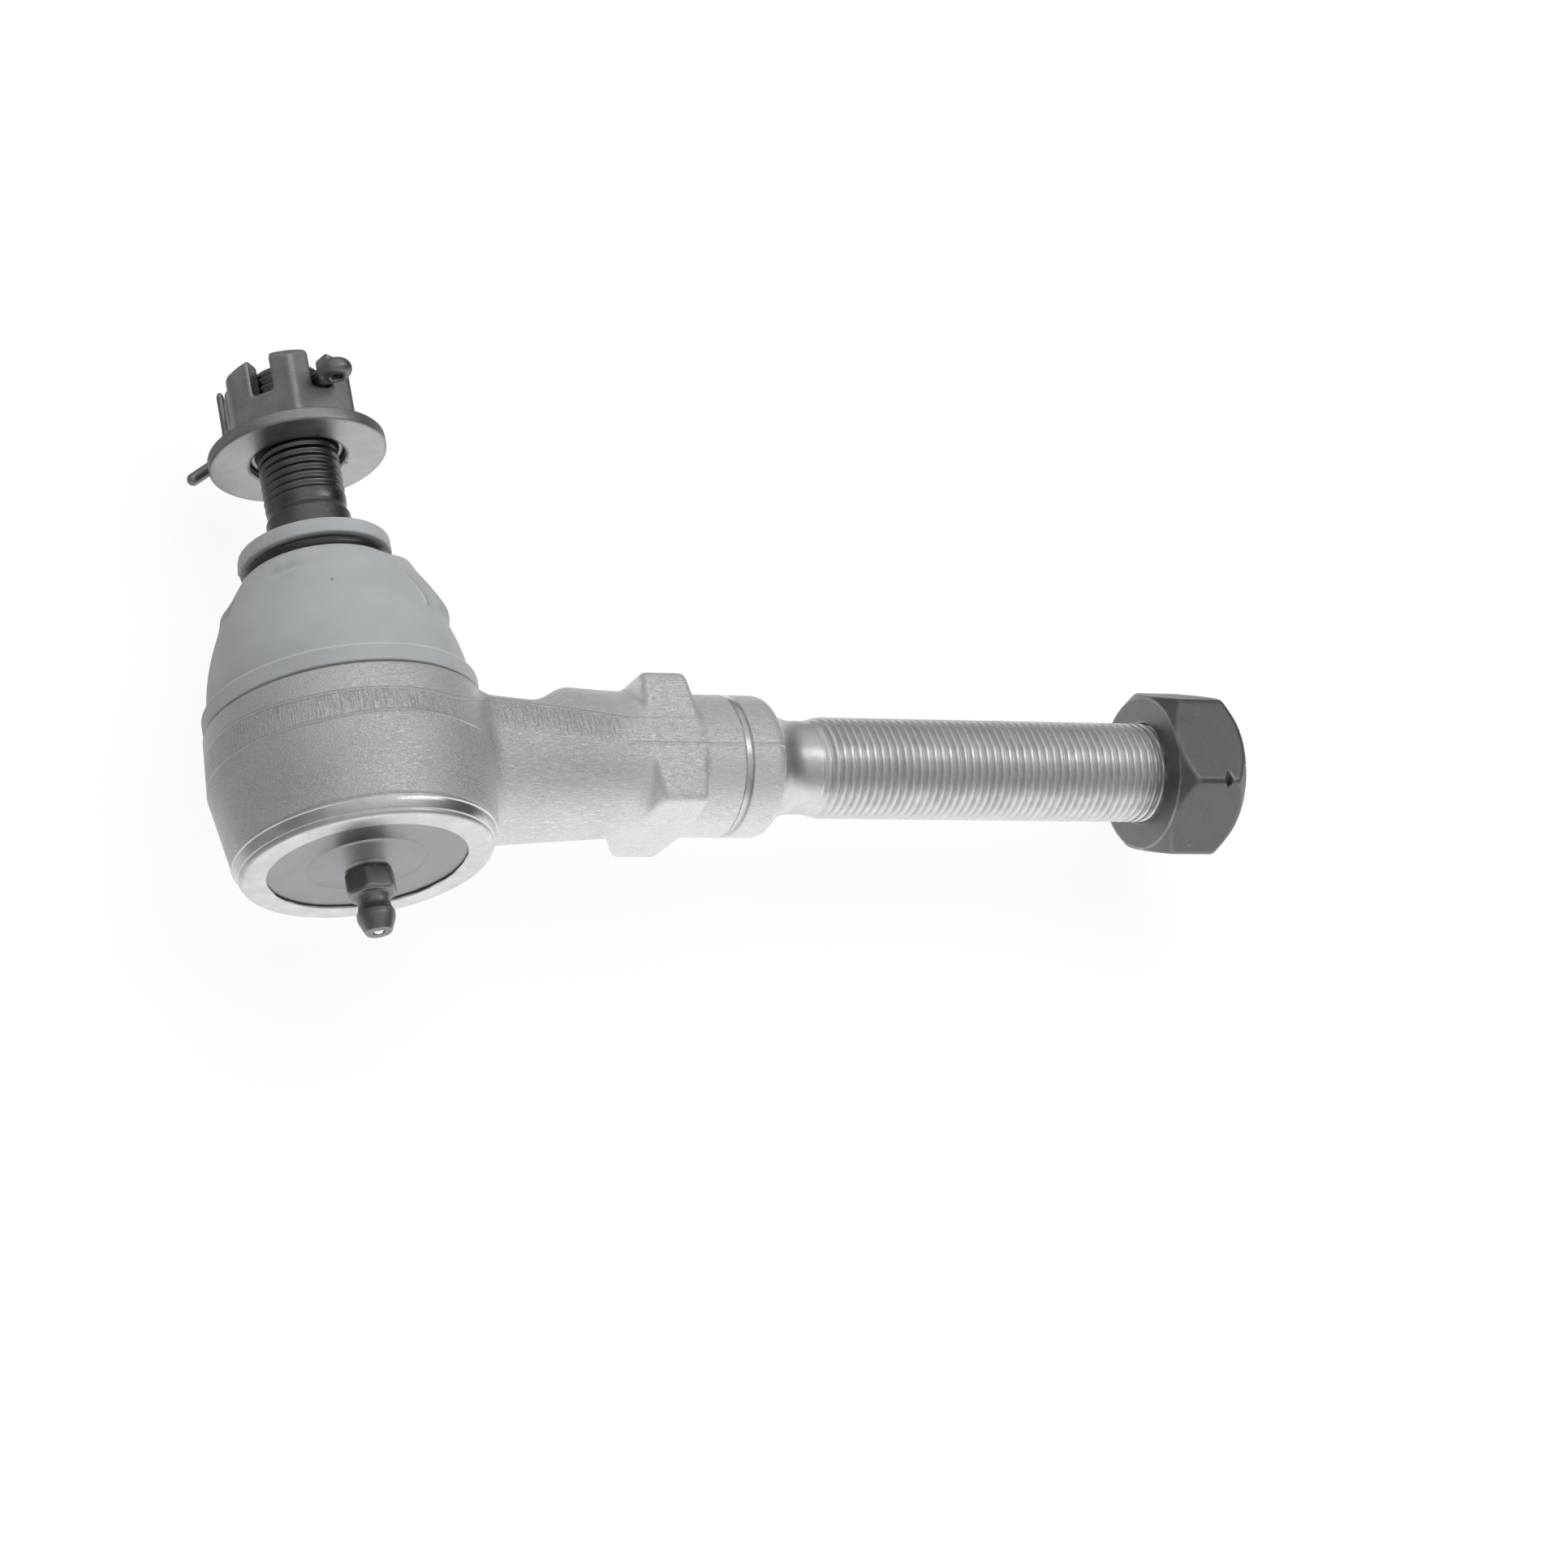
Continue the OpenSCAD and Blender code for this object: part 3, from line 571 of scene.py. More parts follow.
def satin_plate(rgb):
    """Pressed satin steel with faint rolling grain and cloudy stain."""
    material, tree, shader, place = finish_material("plate_steel", metallic=1, roughness=0.41)
    rolling = noise(tree, place, 0.3 * MM, 3, 0.6, stretch=(7, 1, 1), turn=(0, 0.6, 0))
    cloud = noise(tree, place, 6 * MM, 3, 0.6)
    paint(tree, shader, rgb, span(tree, cloud, 0.3, 0.7), 0.92, 1.1)
    tree.links.new(span(tree, cloud, 0.3, 0.7, 0.38, 0.44), shader.inputs["Roughness"])
    relief(tree, shader, [(rolling, 0.008 * MM), (cloud, 0.05 * MM)])
    return material


def rubber(name, rgb, roughness, specks, edge_y=0.0, gloss=0.45):
    """Moulded rubber: mottling, fine grain, dark specks, painted shade in creases with painted highlights
    beside them, and a painted highlight along a line at a height.
    """
    material, tree, shader, place = finish_material(name, 0, roughness)
    shader.inputs["Specular IOR Level"].default_value = gloss
    grain = noise(tree, place, 0.3 * MM, 3, 0.6)
    cloud = noise(tree, place, 9 * MM, 3, 0.55)
    speck = node(tree, "TexVoronoi", {"Vector": place, "Scale": 1 / (6.5 * MM)}).outputs["Distance"]
    hair = noise(tree, place, 0.55 * MM, 1, 0.4, stretch=(7, 0.6, 0.6), turn=(0.4, 0.9, 0.2))
    height = node(tree, "SeparateXYZ", {0: place}).outputs[1]
    from_highlight_line = maths(tree, "ABSOLUTE", maths(tree, "SUBTRACT", height, edge_y))
    crease = mark_value(tree, "crease")
    # Painted light: the crease mark paints shade and highlights, and a thin painted highlight runs along
    # the line at edge_y.
    paint(tree, shader, rgb, span(tree, cloud, 0.3, 0.7), 0.94, 1.06, [
        (span(tree, speck, 0.045, 0.03, 0, specks), 0.35),
        (span(tree, hair, 0.75, 0.79, 0, specks * 0.35), 0.6),
        (span(tree, from_highlight_line, 0.08 * MM, 0.2 * MM, 0.5, 0.0), 1.45),
        (span(tree, crease, 0, 1, 0, 0.7), 0.45),
        (span(tree, crease, 0, -1, 0, 0.7), 1.6),
    ])
    rough = span(tree, cloud, 0.3, 0.7, roughness * 0.9, roughness * 1.15)
    tree.links.new(rough, shader.inputs["Roughness"])
    relief(tree, shader, [(grain, 0.012 * MM), (cloud, 0.12 * MM)])
    return material


def polished_steel(rgb):
    """Polished steel with faint haze."""
    material, tree, shader, place = finish_material("bright_steel", metallic=1, roughness=0.12)
    haze = noise(tree, place, 0.4 * MM, 3)
    paint(tree, shader, rgb, haze, 0.94, 1)
    tree.links.new(span(tree, haze, 0.3, 0.7, 0.08, 0.2), shader.inputs["Roughness"])
    return material


def bearing_polymer(rgb):
    """Moulded polymer with faint flow marks."""
    material, tree, shader, place = finish_material("bearing_polymer", metallic=0, roughness=0.45)
    flow = noise(tree, place, 4 * MM, 3, 0.5, stretch=(1, 3, 1))
    paint(tree, shader, rgb, flow, 0.92, 1)
    relief(tree, shader, [(flow, 0.03 * MM)])
    return material


# Pieces of the housing


NECK_START = 18.6 * MM
VALLEY_X = 31 * MM
CREST_X = 45 * MM
SQUARE_X = 51.4 * MM
SQUARE_END = 59.6 * MM
SQUARE_TRIM = 0.7 * MM
COLLAR_END = 77 * MM
GROOVE_X = 69.3 * MM
GROOVE_W = 1.4 * MM
GROOVE_H = 0.5 * MM
RIM_TOP = -16.4 * MM
PLATE_FACE = -19 * MM
PLATE_TOP = HIGH["cover_plate"].y
SHOULDER_Y = LOW["dust_boot"].y
SPIGOT_Y = 11.5 * MM
WEB_Y = HIGH["upper_bearing"].y


def upper_line(x):
    """Height of the upper parting line along the shank."""
    stops = (-24, -16, 0, 11, 15, 21, 36, 47, 77)
    heights = (3.2, 2.2, 1.9, 1.6, 2.65, 5.6, 4.3, 2.9, 3.3)
    return np.interp(x / MM, stops, heights) * MM


def lower_line(x):
    """Height of the lower parting line along the shank."""
    return np.interp(x / MM, (-24, -14, 0, 13, 46, 77), (-2.2, -2.6, -2.1, -2.7, -1.8, -1.5)) * MM


def forging_field(points):
    """Distance to the forging: socket, neck, wrench square and collar, with the bearing bore cut out."""
    size = bpy.context.scene.tie_rod.forging
    x, y, z = points.T
    stud_r = np.hypot(x, z)
    shank_r = np.hypot(y, z)
    edge = 0.5 * MM
    bevel = 1.2 * MM
    barrel = outline_field(stud_r, y, [
        (0, RIM_TOP + edge), (size.rim_r - edge, RIM_TOP + edge), (size.socket_r - edge, -3 * MM),
        (size.shoulder_r - edge, SHOULDER_Y - edge), (size.spigot_r - edge, SHOULDER_Y - edge),
        (size.spigot_r - edge, SPIGOT_Y - bevel), (size.spigot_r - bevel - edge, SPIGOT_Y - edge),
        (0, SPIGOT_Y - edge),
    ]) - edge
    taper = (size.arm_r, size.collar_r + 0.45 * MM, size.collar_r + 0.1 * MM)
    cone = shank_r - np.interp(x, (NECK_START, CREST_X, SQUARE_X), taper)
    climb = ease((x - VALLEY_X + 2 * MM) / (CREST_X - VALLEY_X))
    rise = (size.collar_r + MM - size.valley_y) * climb
    top = y - size.valley_y - rise - 0.08 * np.maximum(VALLEY_X - x, 0)
    neck = np.maximum(soft_max(cone, top * 0.85, 1.2 * MM), np.maximum(-x, x - SQUARE_X))
    body = soft_min(barrel, neck, 1.8 * MM)
    round_r = 2.2 * MM
    bend = arc((COLLAR_END - round_r, size.collar_r - round_r), round_r, 90, 0)
    collar = outline_field(shank_r, x, [
        (0, CREST_X), (size.collar_r - 0.5 * MM, CREST_X), (size.collar_r, SQUARE_X),
        *[(across, along) for along, across in bend], (0, COLLAR_END),
    ])
    groove = np.maximum(np.abs(x - GROOVE_X) - GROOVE_W / 2, size.collar_r - 2 * GROOVE_H - shank_r)
    body = soft_min(body, np.maximum(collar, -groove), 0.8 * MM)
    body = soft_min(body, square_field(size, x, y, z, shank_r), 0.8 * MM)
    pocket_r = 0.1 * MM - LOW["cover_plate"].x
    pocket_low = RIM_TOP - 5 * MM
    cavity = outline_field(stud_r, y, [
        (0, pocket_low), (pocket_r, pocket_low), (pocket_r, PLATE_TOP), (size.bore_r, PLATE_TOP),
        (size.bore_r, WEB_Y), (12.2 * MM, WEB_Y), (13.9 * MM, SPIGOT_Y + MM), (0, SPIGOT_Y + MM),
    ])
    return np.maximum(body, -cavity)


def square_field(size, x, y, z, shank_r):
    """Distance to the wrench square, whose corners are turned off and whose ends slope."""
    reach = size.square_w / math.sqrt(2) - SQUARE_TRIM
    lift = reach - size.collar_r
    flats = np.maximum(np.abs(y), np.abs(z)) - size.square_w / 2
    corner = soft_max(flats, shank_r - reach, 0.5 * MM)
    near, far = lift / (0.8 * MM), lift / (1.3 * MM)
    front = (shank_r - reach + (SQUARE_X - x) * near) / math.hypot(1, near)
    back = (shank_r - reach + (x - SQUARE_END) * far) / math.hypot(1, far)
    return soft_max(soft_max(corner, front, 1.2 * MM), back, MM)


def make_forging():
    """The forged body, with its parting lines and its trim zone as attributes that its finish reads;
    outside the trim zone the finish paints the square and collar lighter as painted light.
    """
    settings = bpy.context.scene.tie_rod
    reach = settings.forging.socket_r + MM
    step = 0.46 * MM
    lines = (
        grid_lines(-reach, COLLAR_END + MM, step, [(GROOVE_X - MM, GROOVE_X + MM, 0.16 * MM)]),
        grid_lines(RIM_TOP - MM, settings.forging.square_w * 0.6, step),
        grid_lines(-reach, reach, step),
    )
    shape = solid_from_field(forging_field, *lines)
    finish = forged_steel(settings.colours.forged, settings.forging.ridge_h)
    piece = add_piece("housing_forging", shape, finish, "housing", "housing")
    x, y, _ = shape[0].T
    marks = {
        "over_line": y - upper_line(x),
        "under_line": y - lower_line(x),
        "upper_shown": np.interp(x / MM, (44, 50, 61, 63), (1, 0.3, 0.3, 0)),
        "lower_shown": np.interp(x / MM, (14, 18, 44, 50), (1, 0, 0, 1)),
        "trim_marks_and_collar_light": ease((50 * MM - x) / (8 * MM)),
    }
    add_marks(piece, marks)


def make_groove():
    """The bright turned groove round the collar."""
    settings = bpy.context.scene.tie_rod
    top = settings.forging.collar_r + 0.02 * MM
    half = GROOVE_W / 2 + 0.03 * MM
    floor = top - GROOVE_H
    deep = floor - 0.4 * MM
    profile = [(deep, GROOVE_X - half), (top, GROOVE_X - half), (floor, GROOVE_X - 0.7 * half)]
    profile += [(floor, GROOVE_X + 0.8 * half), (top, GROOVE_X + half), (deep, GROOVE_X + half)]
    shape = turned(profile, 128, "X", ring=True)
    finish = turned_steel("groove_steel", settings.colours.turned, "X", roughness=0.3)
    add_piece("collar_groove", shape, finish, "housing", "housing", sharp=20)


def make_rim():
    """The bright rim that is turned and then crimped over the cover plate."""
    settings = bpy.context.scene.tie_rod
    rim_r = settings.forging.rim_r
    inner_r = HIGH["cover_plate"].x + 0.15 * MM
    low = -19.6 * MM
    lip_r = 16.95 * MM
    lip_in_r = lip_r + 0.45 * MM
    edge = 0.22 * MM
    band_r = rim_r - 0.35 * MM
    band_low = RIM_TOP - 2.1 * MM
    band_h = band_low - RIM_TOP + 0.4 * MM
    round_r = 0.95 * MM
    profile = [(inner_r, RIM_TOP + 0.3 * MM), (rim_r - 0.2 * MM, RIM_TOP + 0.3 * MM)]
    profile += arc((rim_r - edge, RIM_TOP - 0.1 * MM), edge, 90, -70, 6)
    profile += [(band_r - 0.5 * MM * t ** 1.6, RIM_TOP - 0.4 * MM + band_h * t)
                for t in np.linspace(0, 1, 12)]
    profile += [(band_r - 0.72 * MM, band_low - 0.1 * MM)]
    profile += arc((band_r - 0.7 * MM - round_r, low + round_r), round_r, 0, -90, 8)
    profile += arc((lip_r + 0.35 * MM, low + 0.35 * MM), 0.35 * MM, -90, -180, 4)
    profile += [(lip_r, PLATE_FACE - 0.26 * MM), (lip_in_r, PLATE_FACE - 0.16 * MM)]
    profile += [(lip_in_r, PLATE_FACE - 0.01 * MM), (inner_r, PLATE_FACE - 0.01 * MM)]
    finish = turned_steel("rim_steel", settings.colours.turned, "Y", roughness=0.38)

    def ragged(radius, along, turn):
        """Radius of the rim, wavy along its crimped lip."""
        wave = sum(np.sin(turn * k + k * k) for k in (7, 12, 19)) / 3
        return radius + 0.16 * MM * wave * (radius < lip_r + 0.5 * MM) * (along > PLATE_FACE - 0.3 * MM)

    shape = turned(profile, 160, shape=ragged, ring=True)
    piece = add_piece("crimped_rim", shape, finish, "housing", "housing", sharp=50)
    away = np.hypot(shape[0][:, 0], shape[0][:, 2])
    band = ease((away - rim_r + 1.05 * MM) / (0.1 * MM)) * ease((rim_r - 0.28 * MM - away) / (0.06 * MM))
    add_marks(piece, {"polish": band})


def thread_shape(start, end, plain_r, crest_r, root_r, pitch, run_in, run_out, flank_w=0.62):
    """A function that winds a helical thread into turned rows between two places."""

    def wind(radius, along, turn):
        """Radius with the thread in it, which fades at both ends."""
        phase = (along / pitch - turn / (2 * math.pi)) % 1
        flank = ease((1 - np.abs(2 * phase - 1) - 0.06) / flank_w)
        wound = root_r + (crest_r - root_r) * flank
        share = ease((along - start) / run_in) * ease((end - along) / run_out)
        return radius + np.where((along > start) & (along < end), share * (wound - plain_r), 0)

    return wind


def thread_rows(start, end, radius, pitch):
    """Rows of a turned profile, close enough together to hold a thread."""
    return [(radius, along) for along in np.arange(start, end, pitch / 12)]


def make_shank():
    """The turned shank with its rolled thread, out of the collar's end."""
    settings = bpy.context.scene.tie_rod
    size = settings.forging
    thread_x = 85 * MM
    end_x = 168 * MM
    radii = size.plain_r, size.thread_r, size.thread_r - 0.5 * size.pitch
    profile = [(9.2 * MM, COLLAR_END - 4 * MM), (10.1 * MM, COLLAR_END - 3.5 * MM)]
    profile += [(size.plain_r + 2.8 * MM * (1 - t) ** 2, COLLAR_END - 0.6 * MM + 6.4 * MM * t)
                for t in np.linspace(0, 1, 14)]
    profile += thread_rows(thread_x - MM, end_x - 1.2 * MM, size.plain_r, size.pitch)
    profile += [(7.9 * MM, end_x - 0.9 * MM), (7.1 * MM, end_x)]
    profile += [(2.2 * MM, end_x), (0.4 * MM, end_x - 1.5 * MM)]
    wind = thread_shape(thread_x, end_x - MM, *radii, size.pitch, run_in=4 * MM, run_out=0.8 * MM)
    finish = turned_steel("shank_steel", settings.colours.turned, "X", roughness=0.36)
    shape = turned(profile, 112, "X", wind)
    add_piece("threaded_shank", shape, finish, "housing", "housing", sharp=40)


# Cover plate and grease fitting


def make_cover():
    """The pressed cover plate with its raised boss."""
    settings = bpy.context.scene.tie_rod
    low, high = LOW["cover_plate"], HIGH["cover_plate"]
    hole_r, boss_r, foot_r = 3.05 * MM, 4.7 * MM, 9.9 * MM
    side_low = low.y + 0.25 * MM
    side_h = PLATE_FACE - low.y - 0.25 * MM
    profile = [(hole_r, low.y), (boss_r - 0.3 * MM, low.y)]
    profile += [(boss_r + (foot_r - boss_r) * (0.7 * t + 0.3 * t ** 3), side_low + side_h * t)
                for t in np.linspace(0, 1, 14)]
    profile += [(foot_r + 0.2 * MM, PLATE_FACE + 0.12 * MM), (foot_r + 0.5 * MM, PLATE_FACE)]
    profile += [(high.x, PLATE_FACE), (high.x, high.y)]
    profile += [(6.6 * MM, high.y), (4.05 * MM, PLATE_FACE), (hole_r, PLATE_FACE)]
    shape = turned(profile, 128, ring=True)
    finish = satin_plate(settings.colours.plate)
    add_piece("cover_plate_pressing", shape, finish, "housing", "cover_plate", sharp=40)


def fitting_field(points):
    """Distance to the grease fitting: stem, hexagon, waist, head and the mouth of its check ball."""
    x, y, z = points.T
    radius = np.hypot(x, z)
    tip = LOW["grease_fitting_body"].y
    hexagon_low, hexagon_top = tip + 6.5 * MM, LOW["cover_plate"].y
    corner_r = 4.5 * MM
    hexagon = hexagon_field(x, -z, 4 * MM, math.radians(90), 0.25 * MM)
    nut = soft_max(hexagon, outline_field(radius, y, [
        (0, hexagon_low), (3.7 * MM, hexagon_low), (corner_r, hexagon_low + 0.6 * MM),
        (corner_r, hexagon_top - 0.7 * MM), (3.9 * MM, hexagon_top), (0, hexagon_top),
    ]), 0.4 * MM)
    head_r, stem_r = 3.25 * MM, 2.95 * MM
    stem_top = HIGH["grease_fitting_body"].y - 0.05 * MM
    stem = [(0, tip), (0, stem_top), (stem_r, stem_top), (stem_r, hexagon_low)]
    stem += [(head_r - 0.5 * MM * math.sin(math.pi * t) ** 0.9, hexagon_low - 3.0 * MM * t)
             for t in np.linspace(0, 1, 9)]
    stem += [(head_r, tip + 2.6 * MM), (3.1 * MM, tip + 2.1 * MM)]
    stem += [(2.3 * MM, tip + 0.15 * MM), (2.15 * MM, tip)]
    body = soft_min(nut, outline_field(radius, y, stem), 0.35 * MM)
    mouth_r, passage_r = 1.25 * MM, 0.8 * MM
    spring_top, passage_top = tip + 6.85 * MM, tip + 16 * MM
    mouth = outline_field(radius, y, [
        (0, tip - MM), (mouth_r, tip - MM), (MM, tip + 0.4 * MM), (mouth_r, tip + MM),
        (mouth_r, spring_top), (passage_r, spring_top), (passage_r, passage_top), (0, passage_top),
    ])
    return np.maximum(body, -mouth)


def make_fitting():
    """The grease fitting's body."""
    settings = bpy.context.scene.tie_rod
    low, high = LOW["grease_fitting_body"], HIGH["grease_fitting_body"]
    step = 0.17 * MM
    across = grid_lines(-5 * MM, 5 * MM, step)
    shape = solid_from_field(fitting_field, across, grid_lines(low.y - MM, high.y + MM, step), across)
    finish = coated_steel("fitting_steel", settings.colours.fitting, roughness=0.42, edge_wear_and_light=1.8)
    add_piece("grease_fitting", shape, finish, "housing", "grease_fitting_body")


# Boot


BOOT_TOP = HIGH["dust_boot"].y
RING_LOW = LOW["boot_neck_ring"].y
RING_HIGH = HIGH["boot_neck_ring"].y
SEAM_Y = 23 * MM
BOOT_GAP = 0.1 * MM


def bump_at(turn, along, turn_deg, y_mm, wide_deg, tall_mm):
    """A soft round bump at a place on the boot."""
    away = (np.degrees(turn) - turn_deg + 180) % 360 - 180
    return np.exp(-((away / wide_deg) ** 2) - ((along / MM - y_mm) / tall_mm) ** 2)


def past_crease(along, turn):
    """Degrees past the fold's crease, which leans down the boot's side."""
    stops = (20.5, 22.5, 24.6, 27, 29, 31, 34)
    crease = np.interp(along / MM, stops, (-55, -50, -47, -47, -48.5, -51, -51))
    return (np.degrees(turn) - crease + 180) % 360 - 180


def painted_crease_shading(points):
    """Painted shade in the boot's creases, its dents and the fold's turned-away side, above zero, and
    painted highlights on the ridges beside them, below zero.
    """
    along, turn = points[:, 1], np.arctan2(-points[:, 2], points[:, 0])
    past = past_crease(along, turn)
    window = ease((along / MM - 20.5) / 2) * ease((31.5 - along / MM) / 3)
    marks = window * (np.exp(-((past + 0.3) / 1.5) ** 2) - np.exp(-((past + 4.5) / 2.2) ** 2) * 0.6)
    # Painted shade on the side of the fold past the crease.
    marks = marks + 0.3 * ease((past - 1) / 4) * ease((40 - past) / 10) * window
    # Painted shade in the pressed dents and painted highlights on their edges, as (strength, turn, height,
    # width, tallness).
    spots = (
        (0.8, 180.5, 27.9, 1.6, 1.8), (0.7, 173, 28.4, 4, 0.5), (0.6, 176, 26.6, 4, 0.5),
        (0.8, -141, 30.6, 3.5, 0.9), (-0.6, -131, 29.4, 5, 0.6),
    )
    for strength, *spot in spots:
        marks = marks + strength * bump_at(turn, along, *spot)
    return marks


def boot_folds(radius, along, turn):
    """Radius of the boot with its pressed folds, dimple and moulding flash."""
    size = bpy.context.scene.tie_rod.boot
    high = along / MM
    past = past_crease(along, turn)
    window = ease((high - 20) / 4) * ease((34.5 - high) / 3)
    fold = ease(past / 6) * ease((50 - past) / 30) * window
    pinch = np.exp(-((past + 0.5) / 1.7) ** 2) * ease((high - 20.5) / 2) * ease((32 - high) / 3)
    moved = size.fold_h * (fold - 0.5 * pinch + 0.3 * bump_at(turn, along, -64.5, 26, 4, 4.5))
    bumps = (
        (0.9 * MM, -44, 33.2, 9, 1.4), (-size.dimple_h, -136, 30, 8, 1.6),
        (0.6 * MM, 172, 27.6, 7, 1.6), (-0.7 * MM, 182, 27.9, 2.2, 1.8),
    )
    for height, *spot in bumps:
        moved = moved + height * bump_at(turn, along, *spot)
    moved = moved + 0.1 * MM * np.sin(2 * turn + 0.6) * ease((high - 13) / 8) * ease((33 - high) / 4)
    outside = radius > size.top_r - 3 * MM
    flash = sum(np.sin(turn * k + k * k) for k in (23, 37, 61)) / 3
    ragged = np.clip(flash, 0, 1) * bump_at(turn, along, 178, 37.4, 30, 1.2)
    return radius + np.where(outside, moved + 0.55 * MM * ragged, 0)


def dome_radius(size, y):
    """Outside radius of the boot's dome at a height."""
    foot = SHOULDER_Y + size.lip_h
    share = np.clip((y - foot) / (RING_LOW - BOOT_GAP - foot), 0, 1)
    return size.top_r + (size.dome_r - size.top_r) * (1 - share ** 1.8)


def boot_outside(size):
    """Outside of the boot from its base lip to its top lip, as (radius, height) pairs."""
    foot = SHOULDER_Y + size.lip_h
    groove_r = -LOW["boot_neck_ring"].x - 1.9 * MM
    points = [(size.lip_r - 1.1 * MM, SHOULDER_Y + 0.02 * MM)]
    points += [(size.lip_r - 0.9 * MM, SHOULDER_Y + 0.35 * MM)]
    points += arc((size.lip_r - 0.3 * MM, SHOULDER_Y + 0.65 * MM), 0.3 * MM, -90, 0, 4)
    points += [(size.lip_r, y) for y in np.linspace(SHOULDER_Y + MM, foot - 0.45 * MM, 5)]
    points += arc((size.lip_r - 0.35 * MM, foot - 0.3 * MM), 0.35 * MM, 0, 90, 4)
    points += [(dome_radius(size, foot) + 0.12 * MM, foot + 0.1 * MM)]
    points += [(dome_radius(size, y), y) for y in np.linspace(foot + 0.5 * MM, SEAM_Y, 24)]
    points += [(dome_radius(size, y), y) for y in np.linspace(SEAM_Y, RING_LOW - 0.7 * MM, 26)[1:]]
    points += arc((size.top_r - 0.45 * MM, RING_LOW - 0.55 * MM), 0.45 * MM, 5, 90, 4)
    points += [(groove_r + 0.4 * MM, RING_LOW - BOOT_GAP), (groove_r, RING_LOW + 0.2 * MM)]
    points += [(groove_r, RING_HIGH - 0.2 * MM), (groove_r + 0.4 * MM, RING_HIGH + BOOT_GAP)]
    points += arc((size.top_r - 0.35 * MM, RING_HIGH + 0.45 * MM), 0.35 * MM, -90, 0, 4)
    points += arc((size.top_r - 0.55 * MM, BOOT_TOP - 0.55 * MM), 0.55 * MM, 0, 90, 5)
    return points


def boot_inside(size):
    """Inside of the boot from its top lip down to its base lip, as (radius, height) pairs."""
    taper = [(8.0 * MM, BOOT_TOP), (7.85 * MM, BOOT_TOP - 0.4 * MM), (8.25 * MM, RING_LOW - 1.6 * MM)]
    wall = [(dome_radius(size, y) - size.wall, y) for y in np.linspace(RING_LOW - 2.6 * MM, SEAM_Y, 8)]
    lower = [(dome_radius(size, y) - size.wall, y) for y in np.linspace(SEAM_Y, SPIGOT_Y + MM, 9)[1:]]
    grip = 20.6 * MM
    return taper, wall, lower + [(grip, SPIGOT_Y - 1.1 * MM), (grip, SHOULDER_Y)]


def make_boot():
    """The dust boot, in two halves that meet in the middle of the dome."""
    settings = bpy.context.scene.tie_rod
    size = settings.boot
    outside = boot_outside(size)
    taper, wall, lower = boot_inside(size)
    seam = next(i for i, point in enumerate(outside) if abs(point[1] - SEAM_Y) < 1e-6)
    # Height of the painted highlight along the base lip's top edge.
    edge_y = SHOULDER_Y + size.lip_h - 0.25 * MM
    finish = rubber("boot_rubber", settings.colours.boot, roughness=0.48, specks=1.0, edge_y=edge_y)
    neck_y = RING_LOW - 1.5 * MM
    halves = {
        "boot_lower": (outside[:seam + 1] + wall[-1:] + lower, ("housing", "liner"), (12 * MM, SEAM_Y)),
        "boot_upper": (outside[seam:] + taper + wall, ("liner", "boot_neck"), (SEAM_Y, neck_y)),
    }
    whole = turned(outside + taper + wall + lower, 288, shape=boot_folds, ring=True)
    normals = whole_normals(whole)
    for name, (profile, bodies, (start, end)) in halves.items():
        shape = turned(profile, 288, shape=boot_folds, ring=True)
        half = loose_piece(name, shape, finish, "dust_boot")
        near = nearest_normals(shape[0], whole[0], normals, half.data)
        half.data.normals_split_custom_set_from_vertices(near)
        add_marks(half, {"crease": painted_crease_shading(shape[0])})
        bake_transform(half)


def whole_normals(shape):
    """Normals of a mesh's points, before it is cut at the seam."""
    mesh = new_mesh("whole", *shape)
    normals = np.array([v.normal for v in mesh.vertices])
    bpy.data.meshes.remove(mesh)
    return normals


def nearest_normals(points, whole, normals, mesh):
    """Normals for a cut mesh: those of the whole one at the same place."""
    known = {tuple(np.round(p / MM, 4)): n for p, n in zip(whole, normals)}
    return [known.get(tuple(np.round(p / MM, 4)), v.normal) for p, v in zip(points, mesh.vertices)]


def make_ring():
    """The rubber ring that holds the boot's neck."""
    settings = bpy.context.scene.tie_rod
    out_r = HIGH["boot_neck_ring"].x
    in_r = out_r - 1.8 * MM
    middle = (RING_LOW + RING_HIGH) / 2
    half = (RING_HIGH - RING_LOW) / 2
    profile = [(in_r, RING_LOW + 0.2 * MM), (in_r + 0.2 * MM, RING_LOW)]
    bulge = np.linspace(-1.5, 1.5, 13)
    profile += [(out_r - half + half * math.cos(a), middle + half * math.sin(a)) for a in bulge]
    profile += [(in_r + 0.2 * MM, RING_HIGH), (in_r, RING_HIGH - 0.2 * MM)]
    finish = rubber("ring_rubber", settings.colours.ring, roughness=0.2, specks=0.0, gloss=1.0)
    shape = turned(profile, 128, ring=True)
    add_piece("neck_ring", shape, finish, "boot_neck", "boot_neck_ring")


# Stud, nuts, washer and pin


